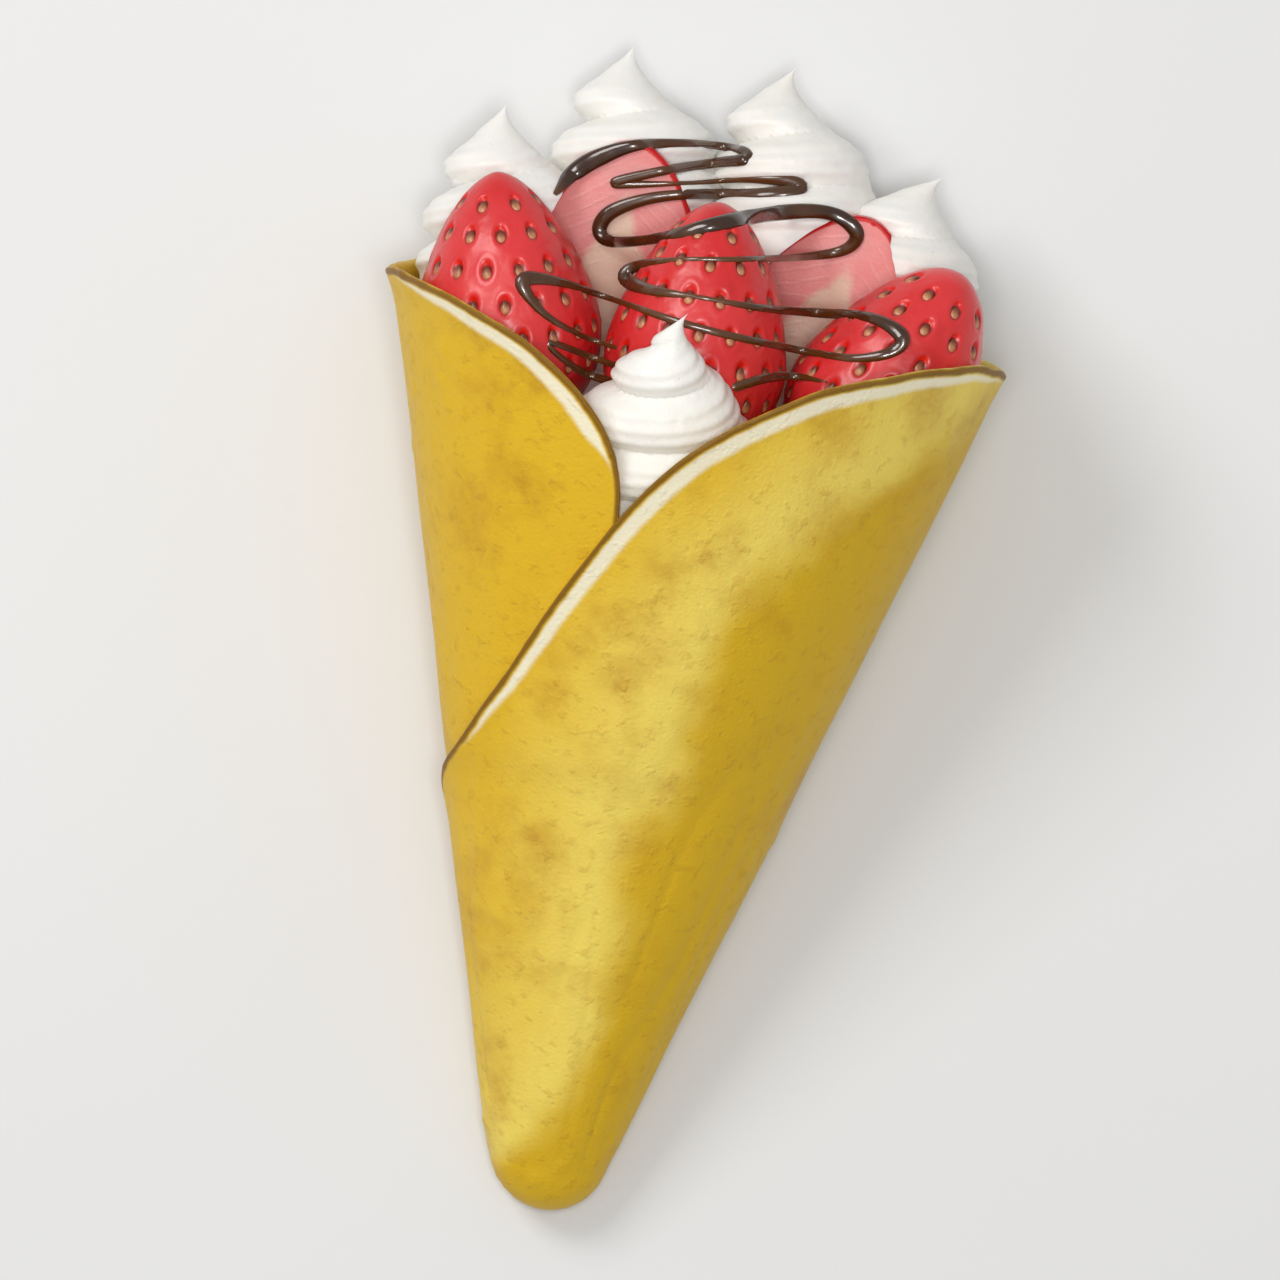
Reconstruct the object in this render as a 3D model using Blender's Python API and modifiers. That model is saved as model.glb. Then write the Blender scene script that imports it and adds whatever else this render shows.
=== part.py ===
# Crepe cone filled with whipped cream and strawberries, lying on its back.
# Lengths are in millimetres from the cone's apex: +Y runs along the cone to its mouth,
# +X to the right seen from above, +Z up from the surface that the cone lies on.

from math import acos, cos, degrees, exp, pi, radians, sin, sqrt

import bmesh
import bpy
from mathutils import Vector
from mathutils.bvhtree import BVHTree

MM = 0.001
GAP = 0.3
CUT_GAP = 0.5

# Place of the apex: the origin is the bottom centre of the whole object
ORIGIN_X = 0.2
ORIGIN_Y = 131.7

# The cone of the crepe
HALF_WIDTH_PER_LENGTH = 0.2972
HALF_DEPTH_PER_LENGTH = 0.22
BACK_ROUNDNESS = 0.85
BACK_PRESSED = 1.06
TIP_TANGENT = 33.7
TIP_RADIUS = 10.5
TIP_CENTRE = 36.7

# The crepe sheet, as angles round the cone: 0 is right, 90 is up, 180 is left, 270 is below
SHEET_THICKNESS = 1.6
LEFT_FLAP_START = 100
SHEET_END = 560
SHEET_STEP = 10
SHEET_ROWS = 9
SHEET_FOOT = 109.0
NECK = 150.0
CORNER = 188.0
LEFT_FLAP_SPAN = 80.0
LEFT_FLAP_POWER = 2.2
BACK_RIM_RISE = 5.5
RIGHT_FLAP_EDGE = (
    (0, 188.3), (24, 188.5), (46, 185.0), (68, 177.1), (90, 161.2),
    (110, 139.0), (127, 122.8), (157, 106.3), (180, 98.0), (200, 84.0),
)
OVERLAP_RISE = (395, 455)
OVERLAP_LIFT_OVER_CORE = 1.0
OVERLAP_LIFT_OVER_SHEET = SHEET_THICKNESS + GAP
CORE_TOP = 114.0
CORE_SINK = 0.3

# The cream inside the cone
FILLING_FOOT = CORE_TOP + 0.4
FILLING_WAIST = 128.0
FILLING_INSET = SHEET_THICKNESS + 0.5
FILLING_TOP = 168.0
FILLING_SLOPE = 20.0

# The piped swirls: base, peak, widest radius, flatness, depth shown, curl and bow of the peak,
# where the rim lets go
SWIRLS = {
    "cream_swirl_left": ((-33.5, 176, 27), (-40.7, 221.6, 27), 16.6, 1.0, 28, -1.3, 3.0, 191.5),
    "cream_swirl_mid_left": ((-15.5, 176, 20), (-20.0, 236.0, 18), 17.0, 1.0, 28, -3.0, 4.2, 195.0),
    "cream_swirl_mid_right": ((14.5, 176, 20), (9.5, 237.2, 18), 16.4, 1.0, 28, -1.0, 3.8, 195.0),
    "cream_swirl_right": ((34.0, 176, 26), (39.6, 222.4, 25), 15.4, 1.0, 28, 2.2, 2.4, 191.5),
    "cream_swirl_front": ((1.5, 144, 42), (-1.9, 189.5, 73), 19.5, 0.72, 48, 3.0, 0.9, 171.0),
}
IN_FRONT_OF = {
    "cream_swirl_mid_left": "cream_swirl_left",
    "cream_swirl_mid_right": "cream_swirl_mid_left",
    "cream_swirl_right": "cream_swirl_mid_right",
}
SWIRL_SIDES = 16
SWIRL_PROPORTION = 0.75
SWIRL_POWER = 1.6
TIER_PITCH = 9.5
TIER_DEPTH_LEFT = 4.3
TIER_DEPTH_RIGHT = 0.7
TIER_ROW = 3.0
TIERS_FADE_IN = (4, 12)
FIRST_GROOVE = 15.0
CURL_DEPTH = 8
BOW_DEPTH = 14

# The strawberries: tip, stem end, radius, bluntness of the tip
WHOLE_BERRIES = {
    "strawberry_left": ((-40.1, 208.7, 47), (-29.6, 165.1, 38), 17.0, 0.6),
    "strawberry_middle": ((0.3, 210.2, 52), (0.9, 165.1, 44), 16.4, 0.56),
    "strawberry_right": ((45.0, 205.1, 48.5), (27.7, 165.0, 39), 16.2, 0.51),
}
HALF_BERRIES = {
    "strawberry_half_left": ((-16.4, 218.4, 36), (-16.9, 177.0, 21), 16.6, 0.51),
    "strawberry_half_right": ((28.2, 212.0, 34.5), (15.9, 173.9, 20), 16.4, 0.51),
}
BERRY_SIDES = 20
BERRY_RINGS = (0.006, 0.03, 0.08, 0.16, 0.27, 0.40, 0.53, 0.66, 0.80, 0.92, 1.0)
BERRY_SHOULDER = 0.62
BERRY_CLEARANCE = 0.8
TIP_POWER = 1.36
FREE_ABOVE_HALVES = 15.0
FRONT_SWIRL_ABOVE_HALVES = 1.0
SEED_ROWS = (4.9, 9.8, 15.7, 21.8, 27.9)
SEED_SPACING = 6.0
SEED_SIZE = (0.8, 1.35, 0.55)
LOWEST_SEED_NORMAL = 0.0

# The chocolate, squeezed from above in one zigzag with two short ends
DRIZZLE_RUNS = (
    (
        (-29.1, 207.0), (-26.9, 210.7), (-22.5, 214.7), (-15.8, 218.1), (-5.2, 220.3),
        (2.1, 220.5), (3.0, 219.0), (-1.9, 217.4), (-11.4, 214.1), (-19.0, 210.6),
        (-7.5, 212.6), (3.0, 215.2), (11.9, 216.4), (13.3, 215.2), (7.0, 213.2),
        (-3.7, 211.4), (-12.4, 209.0), (-18.7, 205.5), (-20.3, 202.0), (-17.7, 200.2),
        (-9.3, 202.1), (0.9, 206.4), (11.2, 210.5), (20.0, 212.0), (25.2, 209.6),
        (23.8, 206.1), (16.1, 203.3), (5.6, 200.7), (-5.0, 198.8), (-12.8, 196.3),
        (-14.0, 193.9), (-9.4, 192.5), (-0.3, 192.7), (10.7, 192.8), (21.4, 194.0),
        (30.5, 194.5), (36.3, 192.2), (35.1, 189.1), (28.2, 186.8), (17.2, 186.7),
        (6.2, 186.9), (-4.9, 187.9), (-16.2, 189.9), (-25.6, 191.1), (-31.4, 190.7),
        (-31.8, 188.9), (-27.3, 185.0), (-20.4, 182.5), (-12.0, 181.1),
    ),
    ((-18.0, 179.0), (-25.1, 180.2), (-24.7, 178.9), (-19.3, 176.2), (-12.1, 174.9)),
    ((8.2, 177.8), (13.7, 180.6), (19.0, 181.9), (24.7, 181.8)),
)
DRIZZLE_RADIUS = 1.15
DRIZZLE_SUNK = 0.4
DRIZZLE_STEP = 3.5
DRIZZLE_SHORTEST = 3
ABOVE_EVERYTHING = 120

# Colour and roughness of each kind of surface
FINISHES = {
    "crepe": ((0.70, 0.43, 0.08), 0.5),
    "cream": ((0.90, 0.88, 0.82), 0.4),
    "strawberry": ((0.62, 0.03, 0.03), 0.25),
    "cut_strawberry": ((0.85, 0.32, 0.28), 0.3),
}


def world(point):
    x, y, z = point
    return Vector(((x - ORIGIN_X) * MM, (y - ORIGIN_Y) * MM, z * MM))


def blend(value, start, end):
    share = min(max((value - start) / (end - start), 0.0), 1.0)
    return share * share * (3 - 2 * share)


def curve_through(before, start, end, after, share):
    """A Catmull-Rom curve between start and end, for numbers or vectors."""
    slope_in = (end - before) / 2
    slope_out = (after - start) / 2
    t2, t3 = share ** 2, share ** 3
    return (
        start * (2 * t3 - 3 * t2 + 1) + slope_in * (t3 - 2 * t2 + share)
        + end * (3 * t2 - 2 * t3) + slope_out * (t3 - t2)
    )


# Scene

def clear_scene():
    for old in list(bpy.data.objects):
        bpy.data.objects.remove(old, do_unlink=True)


def new_collection(name, hidden=False):
    collection = bpy.data.collections.new(name)
    bpy.context.scene.collection.children.link(collection)
    collection.hide_render = hidden
    return collection


def new_material(name, colour, roughness):
    material = bpy.data.materials.new(name)
    material.use_nodes = True
    shader = material.node_tree.nodes["Principled BSDF"]
    shader.inputs["Base Color"].default_value = (*colour, 1)
    shader.inputs["Roughness"].default_value = roughness
    shader.inputs["Metallic"].default_value = 0
    return material


def finish(piece, kind):
    colour, roughness = FINISHES[kind]
    piece.data.materials.clear()
    piece.data.materials.append(new_material(piece.name, colour, roughness))
    piece.data.shade_smooth()
    piece.data.set_sharp_from_angle(angle=radians(40))


# Mesh helpers

def object_from(bm, name, collection):
    bmesh.ops.recalc_face_normals(bm, faces=bm.faces)
    mesh = bpy.data.meshes.new(name)
    bm.to_mesh(mesh)
    bm.free()
    made = bpy.data.objects.new(name, mesh)
    collection.objects.link(made)
    if collection.hide_render:
        made.hide_render = True
        made.display_type = "WIRE"
    return made


def loft(name, rings, start, end, collection):
    """One closed body through rings of points, closed at each end by a single point."""
    bm = bmesh.new()
    rows = [[bm.verts.new(world(point)) for point in ring] for ring in rings]
    for row, following in zip(rows, rows[1:]):
        for k in range(len(row)):
            after = (k + 1) % len(row)
            bm.faces.new((row[k], row[after], following[after], following[k]))
    for row, point in ((rows[0], start), (rows[-1], end)):
        pole = bm.verts.new(world(point))
        for k in range(len(row)):
            bm.faces.new((row[k], row[(k + 1) % len(row)], pole))
    return object_from(bm, name, collection)


def keep_largest_body(piece):
    bm = bmesh.new()
    bm.from_mesh(piece.data)
    unseen = set(bm.verts)
    bodies = []
    while unseen:
        body = set()
        reached = [next(iter(unseen))]
        while reached:
            vert = reached.pop()
            if vert in body:
                continue
            body.add(vert)
            reached.extend(edge.other_vert(vert) for edge in vert.link_edges)
        unseen -= body
        bodies.append(body)
    largest = max(bodies, key=len)
    loose = [vert for body in bodies if body is not largest for vert in body]
    bmesh.ops.delete(bm, geom=loose, context="VERTS")
    bm.to_mesh(piece.data)
    bm.free()


def combine(piece, operation, others):
    """Applies one Boolean with every object in others, and removes those objects."""
    if not others:
        return
    helpers = bpy.data.collections.new("helpers")
    bpy.context.scene.collection.children.link(helpers)
    for other in others:
        helpers.objects.link(other)
    modifier = piece.modifiers.new("combine", "BOOLEAN")
    modifier.operation = operation
    modifier.operand_type = "COLLECTION"
    modifier.collection = helpers
    modifier.use_self = operation == "UNION"
    bpy.context.view_layer.update()
    graph = bpy.context.evaluated_depsgraph_get()
    result = bpy.data.meshes.new_from_object(piece.evaluated_get(graph))
    piece.modifiers.clear()
    old = piece.data
    piece.data = result
    bpy.data.meshes.remove(old)
    for other in others:
        bpy.data.objects.remove(other, do_unlink=True)
    bpy.data.collections.remove(helpers)
    keep_largest_body(piece)


# Crepe

def section(angle, length):
    """The cone's outline at this length: x and z for an angle round it."""
    across = cos(radians(angle))
    up = sin(radians(angle))
    half_width = HALF_WIDTH_PER_LENGTH * length
    half_depth = HALF_DEPTH_PER_LENGTH * length
    if up >= 0:
        return half_width * across, half_depth * (1 + up)
    side = 1 if across >= 0 else -1
    x = half_width * side * abs(across) ** BACK_ROUNDNESS
    return x, half_depth * (1 - BACK_PRESSED * abs(up) ** BACK_ROUNDNESS)


def cone_point(angle, length, lift):
    """A point lifted off the cone's surface, whose tip is rounded and whose back is pressed flat."""
    widened = max(length, TIP_TANGENT)
    x, z = section(angle, widened)
    before, after = section(angle - 1, widened), section(angle + 1, widened)
    along = Vector((after[0] - before[0], after[1] - before[1])).normalized()
    x += along.y * lift
    z = max(z - along.x * lift, -lift, 0.0)
    if length < TIP_TANGENT:
        reach = sqrt(max(TIP_RADIUS ** 2 - (TIP_CENTRE - length) ** 2, 0.01))
        share = reach / (HALF_WIDTH_PER_LENGTH * TIP_TANGENT)
        middle = HALF_DEPTH_PER_LENGTH * TIP_TANGENT
        x, z = x * share, middle + (z - middle) * share
    return x, length, z


def right_flap_edge(angle):
    """A smooth edge through the stations of the right flap."""
    last = len(RIGHT_FLAP_EDGE) - 1
    k = max(i for i in range(last) if RIGHT_FLAP_EDGE[i][0] <= angle)
    nearby = [RIGHT_FLAP_EDGE[min(max(i, 0), last)] for i in range(k - 1, k + 3)]
    share = (angle - nearby[1][0]) / (nearby[2][0] - nearby[1][0])
    return curve_through(*(length for _, length in nearby), share)


def sheet_top(turn):
    if turn <= 180:
        share = (180 - turn) / LEFT_FLAP_SPAN
        return NECK + (CORNER - NECK) * (1 - share ** LEFT_FLAP_POWER) ** (1 / LEFT_FLAP_POWER)
    if turn <= 360:
        return CORNER + BACK_RIM_RISE * sin(radians(turn - 180))
    return right_flap_edge(turn - 360)


def sheet_lift(turn, length):
    """How far the sheet stands off the cone: the right flap climbs over the left one."""
    extra = OVERLAP_LIFT_OVER_SHEET - OVERLAP_LIFT_OVER_CORE
    return (OVERLAP_LIFT_OVER_CORE + extra * blend(length, 100, 108)) * blend(turn, *OVERLAP_RISE)


def make_sheet(collection):
    """The wrapped crepe as an open surface, given its thickness inwards."""
    bm = bmesh.new()
    columns = []
    for turn in range(LEFT_FLAP_START, SHEET_END + 1, SHEET_STEP):
        foot = SHEET_FOOT if turn < 360 else TIP_TANGENT
        top = sheet_top(turn)
        column = []
        for row in range(SHEET_ROWS + 1):
            length = foot + (top - foot) * (row / SHEET_ROWS) ** 0.8
            column.append(bm.verts.new(world(cone_point(turn, length, sheet_lift(turn, length)))))
        columns.append(column)
    for column, following in zip(columns, columns[1:]):
        for row in range(SHEET_ROWS):
            bm.faces.new((column[row], column[row + 1], following[row + 1], following[row]))
    mesh = bpy.data.meshes.new("crepe")
    bm.to_mesh(mesh)
    bm.free()
    sheet = bpy.data.objects.new("crepe", mesh)
    collection.objects.link(sheet)
    thickness = sheet.modifiers.new("thickness", "SOLIDIFY")
    thickness.thickness = SHEET_THICKNESS * MM
    thickness.offset = -1
    return sheet


def make_crepe(parts, cutters):
    """The sheet joined to the solid lower cone, where its folds lie tight."""
    sheet = make_sheet(parts)
    lengths = [26.4, 27.6, 30.0]
    lengths += [TIP_TANGENT + (CORE_TOP - TIP_TANGENT) * k / 6 for k in range(7)]
    rings = [
        [cone_point(angle, length, -CORE_SINK) for angle in range(0, 360, SHEET_STEP)]
        for length in lengths
    ]
    tip_height = HALF_DEPTH_PER_LENGTH * TIP_TANGENT
    top_height = HALF_DEPTH_PER_LENGTH * CORE_TOP
    core = loft("core", rings, (0, 26.2, tip_height), (0, CORE_TOP, top_height), cutters)
    combine(sheet, "UNION", [core])
    finish(sheet, "crepe")
    return sheet


# Cream

def room_inside(rim, collection):
    """The space inside the cone up to the rim, and all round above it."""
    stations = ((100, 0), (130, 0), (160, 0), (rim, 0), (rim + 3, 8), (rim + 12, 30), (260, 40))
    rings = [
        [cone_point(angle, length, flare - FILLING_INSET) for angle in range(0, 360, 12)]
        for length, flare in stations
    ]
    return loft("room", rings, (0, 100, 22), (0, 260, 50), collection)


def frame_along(start, end):
    """The direction from start to end, one across it to the right and one across it upwards."""
    axis = (Vector(end) - Vector(start)).normalized()
    side = axis.cross(Vector((0, 0, 1))).normalized()
    return axis, side, side.cross(axis).normalized()


def swirl_radius(depth, turn, radius, shown):
    """The radius this far under the peak: a pointed kiss with a groove that winds down it."""
    envelope = radius * (1 - exp(-((depth / (SWIRL_PROPORTION * radius)) ** SWIRL_POWER)))
    wound = (depth - FIRST_GROOVE) / TIER_PITCH - (turn - pi) / (2 * pi)
    lobe = sqrt(max(0.0, 1 - (2 * (wound % 1.0) - 1) ** 2))
    fade = blend(depth, *TIERS_FADE_IN) * (1 - blend(depth, shown, shown + 4))
    leftward = (1 - cos(turn)) / 2
    tier = TIER_DEPTH_RIGHT + (TIER_DEPTH_LEFT - TIER_DEPTH_RIGHT) * leftward
    return envelope + tier * fade * (lobe - 0.75)


def swirl(name, shape, grow, collection):
    base, peak, radius, flatness, shown, curl, bow, _ = shape
    axis, side, out = frame_along(base, peak)
    length = (Vector(peak) - Vector(base)).length
    depths = [1.2, 3.5, 6.2, 9, 11.6, 13.6]
    while depths[-1] < shown:
        depths.append(depths[-1] + (1.5 if depths[-1] < 16 else TIER_ROW))
    depths += [shown + 5, length]
    rings = []
    for depth in depths:
        lean = curl * (1 - max(0.0, 1 - depth / CURL_DEPTH) ** 2)
        lean += bow * sin(pi * min(depth / BOW_DEPTH, 1))
        centre = Vector(peak) - axis * depth - side * lean
        if depth == length:
            centre -= axis * grow
        ring = []
        for k in range(SWIRL_SIDES):
            turn = 2 * pi * k / SWIRL_SIDES
            reach = swirl_radius(depth, turn, radius, shown) + grow
            ring.append(centre + side * cos(turn) * reach + out * sin(turn) * reach * flatness)
        rings.append(ring)
    foot = Vector(base) - axis * grow - side * curl
    return loft(name, rings, Vector(peak) + axis * grow, foot, collection)


def make_swirls(parts, cutters):
    made = {}
    for name, shape in SWIRLS.items():
        piece = swirl(name, shape, 0, parts)
        combine(piece, "INTERSECT", [room_inside(shape[-1], cutters)])
        above = FRONT_SWIRL_ABOVE_HALVES if name == "cream_swirl_front" else FREE_ABOVE_HALVES
        around = grown_berries(above, cutters)
        if name in IN_FRONT_OF:
            around.append(swirl("neighbour", SWIRLS[IN_FRONT_OF[name]], CUT_GAP, cutters))
        combine(piece, "DIFFERENCE", around)
        made[name] = piece
    return made


def make_filling(parts, cutters):
    angles = range(0, 360, 12)
    rings = [
        [cone_point(angle, length, -FILLING_INSET) for angle in angles]
        for length in (FILLING_FOOT, FILLING_WAIST)
    ]
    for share in (0.5, 1.0):
        ring = []
        for angle in angles:
            top = FILLING_TOP - FILLING_SLOPE * sin(radians(angle))
            length = FILLING_WAIST + (top - FILLING_WAIST) * share
            ring.append(cone_point(angle, length, -FILLING_INSET))
        rings.append(ring)
    foot = (0, FILLING_FOOT, HALF_DEPTH_PER_LENGTH * FILLING_FOOT)
    top = (0, FILLING_TOP, HALF_DEPTH_PER_LENGTH * FILLING_TOP)
    filling = loft("cream_filling", rings, foot, top, parts)
    around = grown_berries(FREE_ABOVE_HALVES, cutters)
    around += [swirl("around", shape, CUT_GAP, cutters) for shape in SWIRLS.values()]
    combine(filling, "DIFFERENCE", around)
    return filling


# Strawberries

def berry_radius(depth, length, radius, bluntness):
    shoulder = BERRY_SHOULDER * length
    if depth < shoulder:
        return radius * (1 - (1 - depth / shoulder) ** TIP_POWER) ** bluntness
    past = (depth - shoulder) / (length - shoulder)
    return radius * sqrt(1 - (0.92 * past) ** 2.2)


def berry_point(shape, depth, turn, grow=0.0):
    tip, stem, radius, bluntness = shape
    axis, side, out = frame_along(stem, tip)
    length = (Vector(tip) - Vector(stem)).length
    reach = berry_radius(depth, length, radius, bluntness) + grow
    return Vector(tip) - axis * depth + (side * cos(turn) + out * sin(turn)) * reach


def berry(name, shape, grow, collection):
    tip, stem = Vector(shape[0]), Vector(shape[1])
    axis = frame_along(stem, tip)[0]
    length = (tip - stem).length
    turns = [2 * pi * k / BERRY_SIDES for k in range(BERRY_SIDES)]
    rings = [
        [berry_point(shape, share * length, turn, grow) for turn in turns]
        for share in BERRY_RINGS
    ]
    rings[-1] = [point - axis * grow for point in rings[-1]]
    return loft(name, rings, tip + axis * grow, stem - axis * grow, collection)


def cut_berry(name, shape, grow, collection):
    """A berry cut lengthwise, with its cut face up."""
    piece = berry(name, shape, grow, collection)
    out = frame_along(shape[1], shape[0])[2]
    bm = bmesh.new()
    bm.from_mesh(piece.data)
    bmesh.ops.bisect_plane(
        bm,
        geom=list(bm.verts) + list(bm.edges) + list(bm.faces),
        dist=1e-7,
        plane_co=world(Vector(shape[0]) + out * grow),
        plane_no=out,
        clear_outer=True,
    )
    bmesh.ops.holes_fill(bm, edges=[edge for edge in bm.edges if edge.is_boundary], sides=0)
    bmesh.ops.recalc_face_normals(bm, faces=bm.faces)
    bm.to_mesh(piece.data)
    bm.free()
    return piece


def cut_berry_room(shape, grow, height, collection):
    """A half berry with the space straight above its cut face."""
    tip, stem, radius, bluntness = Vector(shape[0]), Vector(shape[1]), *shape[2:]
    axis, side, out = frame_along(stem, tip)
    length = (tip - stem).length
    half_turn = [pi * k / (BERRY_SIDES // 2) for k in range(BERRY_SIDES // 2 + 1)]
    rings = []
    for share in BERRY_RINGS:
        reach = berry_radius(share * length, length, radius, bluntness) + grow
        centre = tip - axis * share * length
        if share == BERRY_RINGS[-1]:
            centre -= axis * grow
        ring = [centre + (side * cos(turn) - out * sin(turn)) * reach for turn in half_turn]
        ring += [centre - side * reach + out * height, centre + side * reach + out * height]
        rings.append(ring)
    return loft("near", rings, tip + axis * grow, stem - axis * grow, collection)


def grown_berries(above_halves, cutters):
    grown = [berry("near", shape, BERRY_CLEARANCE, cutters) for shape in WHOLE_BERRIES.values()]
    grown += [cut_berry_room(shape, GAP, above_halves, cutters) for shape in HALF_BERRIES.values()]
    return grown


def hidden_by_crepe(place):
    share = place.x / (HALF_WIDTH_PER_LENGTH * place.y)
    turn = degrees(acos(min(max(share, -1.0), 1.0)))
    edge = sheet_top(turn) if turn >= LEFT_FLAP_START else right_flap_edge(turn)
    return place.y < edge - 1


def seed(place, along, normal, collection):
    bm = bmesh.new()
    bmesh.ops.create_icosphere(bm, subdivisions=1, radius=1)
    across = along.cross(normal).normalized()
    for vert in bm.verts:
        x, y, z = (vert.co[k] * SEED_SIZE[k] for k in range(3))
        vert.co = world(place + across * x + along * y + normal * z)
    return object_from(bm, "seed", collection)


def seeds_of(shape, neighbours, collection):
    """Seeds in staggered rows over the side that shows, clear of the neighbouring pieces."""
    made = []
    for row, depth in enumerate(SEED_ROWS):
        width = (berry_point(shape, depth, 0) - berry_point(shape, depth, pi)).length
        count = round(pi * width / SEED_SPACING)
        for k in range(count):
            stagger = 0.5 if row % 2 == 0 else 0.0
            turn = pi / 2 + 2 * pi * (k + stagger) / count
            place = berry_point(shape, depth, turn)
            along = berry_point(shape, depth - 0.5, turn) - berry_point(shape, depth + 0.5, turn)
            along.normalize()
            across = berry_point(shape, depth, turn + 0.1) - berry_point(shape, depth, turn - 0.1)
            normal = along.cross(across).normalized()
            if normal.dot(place - berry_point(shape, depth, turn + pi)) < 0:
                normal.negate()
            hidden = normal.z < LOWEST_SEED_NORMAL or hidden_by_crepe(place)
            if not hidden and not near_any(place, neighbours, SEED_SIZE[1] + GAP):
                made.append(seed(place, along, normal, collection))
    return made


def make_berries(parts, cutters):
    made = {name: berry(name, shape, 0, parts) for name, shape in WHOLE_BERRIES.items()}
    made.update({name: cut_berry(name, shape, 0, parts) for name, shape in HALF_BERRIES.items()})
    return made


# Chocolate

def tree_of(piece):
    bm = bmesh.new()
    bm.from_mesh(piece.data)
    bmesh.ops.triangulate(bm, faces=bm.faces)
    tree = BVHTree.FromBMesh(bm)
    bm.free()
    return tree


def near_any(place, trees, distance):
    return any(tree.find_nearest(world(place), distance * MM)[0] is not None for tree in trees)


def smooth_route(points):
    """Points about one step apart on a smooth curve through the given ones."""
    corners = [Vector(point) for point in points]
    ends = [corners[0] * 2 - corners[1]] + corners + [corners[-1] * 2 - corners[-2]]
    route = []
    for before, start, end, after in zip(ends, ends[1:], ends[2:], ends[3:]):
        pieces = max(1, round((end - start).length / DRIZZLE_STEP))
        route += [curve_through(before, start, end, after, k / pieces) for k in range(pieces)]
    return route + [corners[-1]]


def drizzle_stretches(trees, carriers):
    """Stretches of the route, each with the piece that carries it, clear of every other piece."""
    stretches = []
    down = Vector((0, 0, -1))
    for run in DRIZZLE_RUNS:
        carrier, stretch = None, []
        for flat in smooth_route(run):
            start = world((flat.x, flat.y, ABOVE_EVERYTHING))
            hits = {name: tree.ray_cast(start, down)[0] for name, tree in trees.items()}
            heights = {name: hit.z / MM for name, hit in hits.items() if hit}
            top = max(heights, key=heights.get) if heights else None
            place = Vector((flat.x, flat.y, heights.get(top, 0) + DRIZZLE_SUNK))
            others = [tree for name, tree in trees.items() if name != top]
            carried = top in carriers and not near_any(place, others, DRIZZLE_RADIUS + 2 * GAP)
            if top != carrier or not carried:
                stretches.append((carrier, stretch))
                carrier, stretch = top, []
            if carried:
                stretch.append(place)
        stretches.append((carrier, stretch))
    return [(name, points) for name, points in stretches if len(points) >= DRIZZLE_SHORTEST]


def tube(points, collection):
    """A round thread of chocolate through the points, as a closed mesh."""
    curve = bpy.data.curves.new("drizzle", "CURVE")
    curve.dimensions = "3D"
    curve.bevel_depth = DRIZZLE_RADIUS * MM
    curve.bevel_resolution = 1
    curve.use_fill_caps = True
    spline = curve.splines.new("POLY")
    spline.points.add(len(points) - 1)
    for target, point in zip(spline.points, points):
        target.co = (*world(point), 1)
    drawn = bpy.data.objects.new("drizzle", curve)
    collection.objects.link(drawn)
    bpy.context.view_layer.update()
    graph = bpy.context.evaluated_depsgraph_get()
    bm = bmesh.new()
    mesh = bpy.data.meshes.new_from_object(drawn.evaluated_get(graph))
    bm.from_mesh(mesh)
    bmesh.ops.remove_doubles(bm, verts=bm.verts, dist=1e-6)
    made = object_from(bm, "drizzle", collection)
    bpy.data.meshes.remove(mesh)
    bpy.data.objects.remove(drawn, do_unlink=True)
    return made


def main():
    clear_scene()
    parts = new_collection("crepe_cone")
    cutters = new_collection("cutters", hidden=True)
    crepe = make_crepe(parts, cutters)
    berries = make_berries(parts, cutters)
    swirls = make_swirls(parts, cutters)
    filling = make_filling(parts, cutters)
    pieces = {**berries, **swirls, "crepe": crepe, "cream_filling": filling}
    trees = {name: tree_of(piece) for name, piece in pieces.items()}
    toppings = {name: [] for name in pieces}
    for name, shape in WHOLE_BERRIES.items():
        neighbours = [tree for other, tree in trees.items() if other != name]
        toppings[name] += seeds_of(shape, neighbours, cutters)
    carriers = set(pieces) - {"crepe", "cream_filling", "cream_swirl_front"}
    for name, points in drizzle_stretches(trees, carriers):
        toppings[name].append(tube(points, cutters))
    for name, piece in pieces.items():
        combine(piece, "UNION", toppings[name])
    for name, piece in pieces.items():
        if name in WHOLE_BERRIES:
            finish(piece, "strawberry")
        elif name in HALF_BERRIES:
            finish(piece, "cut_strawberry")
        elif name != "crepe":
            finish(piece, "cream")


main()
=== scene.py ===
from math import ceil, cos, exp, pi, radians, sin, sqrt

import bmesh
import bpy
from mathutils import Euler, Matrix, Vector, kdtree, noise
from mathutils.bvhtree import BVHTree


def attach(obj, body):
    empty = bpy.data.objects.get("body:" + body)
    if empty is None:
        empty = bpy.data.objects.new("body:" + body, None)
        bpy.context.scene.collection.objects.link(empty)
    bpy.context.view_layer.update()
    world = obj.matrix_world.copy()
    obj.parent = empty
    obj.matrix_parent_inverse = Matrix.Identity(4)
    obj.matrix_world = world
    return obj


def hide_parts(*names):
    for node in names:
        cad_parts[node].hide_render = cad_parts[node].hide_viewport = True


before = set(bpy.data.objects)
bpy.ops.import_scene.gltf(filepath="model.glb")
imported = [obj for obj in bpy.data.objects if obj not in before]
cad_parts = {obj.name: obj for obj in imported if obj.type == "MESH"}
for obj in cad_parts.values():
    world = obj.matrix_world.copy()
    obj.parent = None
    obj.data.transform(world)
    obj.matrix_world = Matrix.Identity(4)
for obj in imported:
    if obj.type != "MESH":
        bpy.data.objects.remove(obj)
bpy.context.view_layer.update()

# Lengths are millimetres from the cone's apex: +Y to the mouth, +X right, +Z up. place() makes them metres
mm = 0.001
origin = Vector((0.2, 131.7, 0.0))
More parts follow.
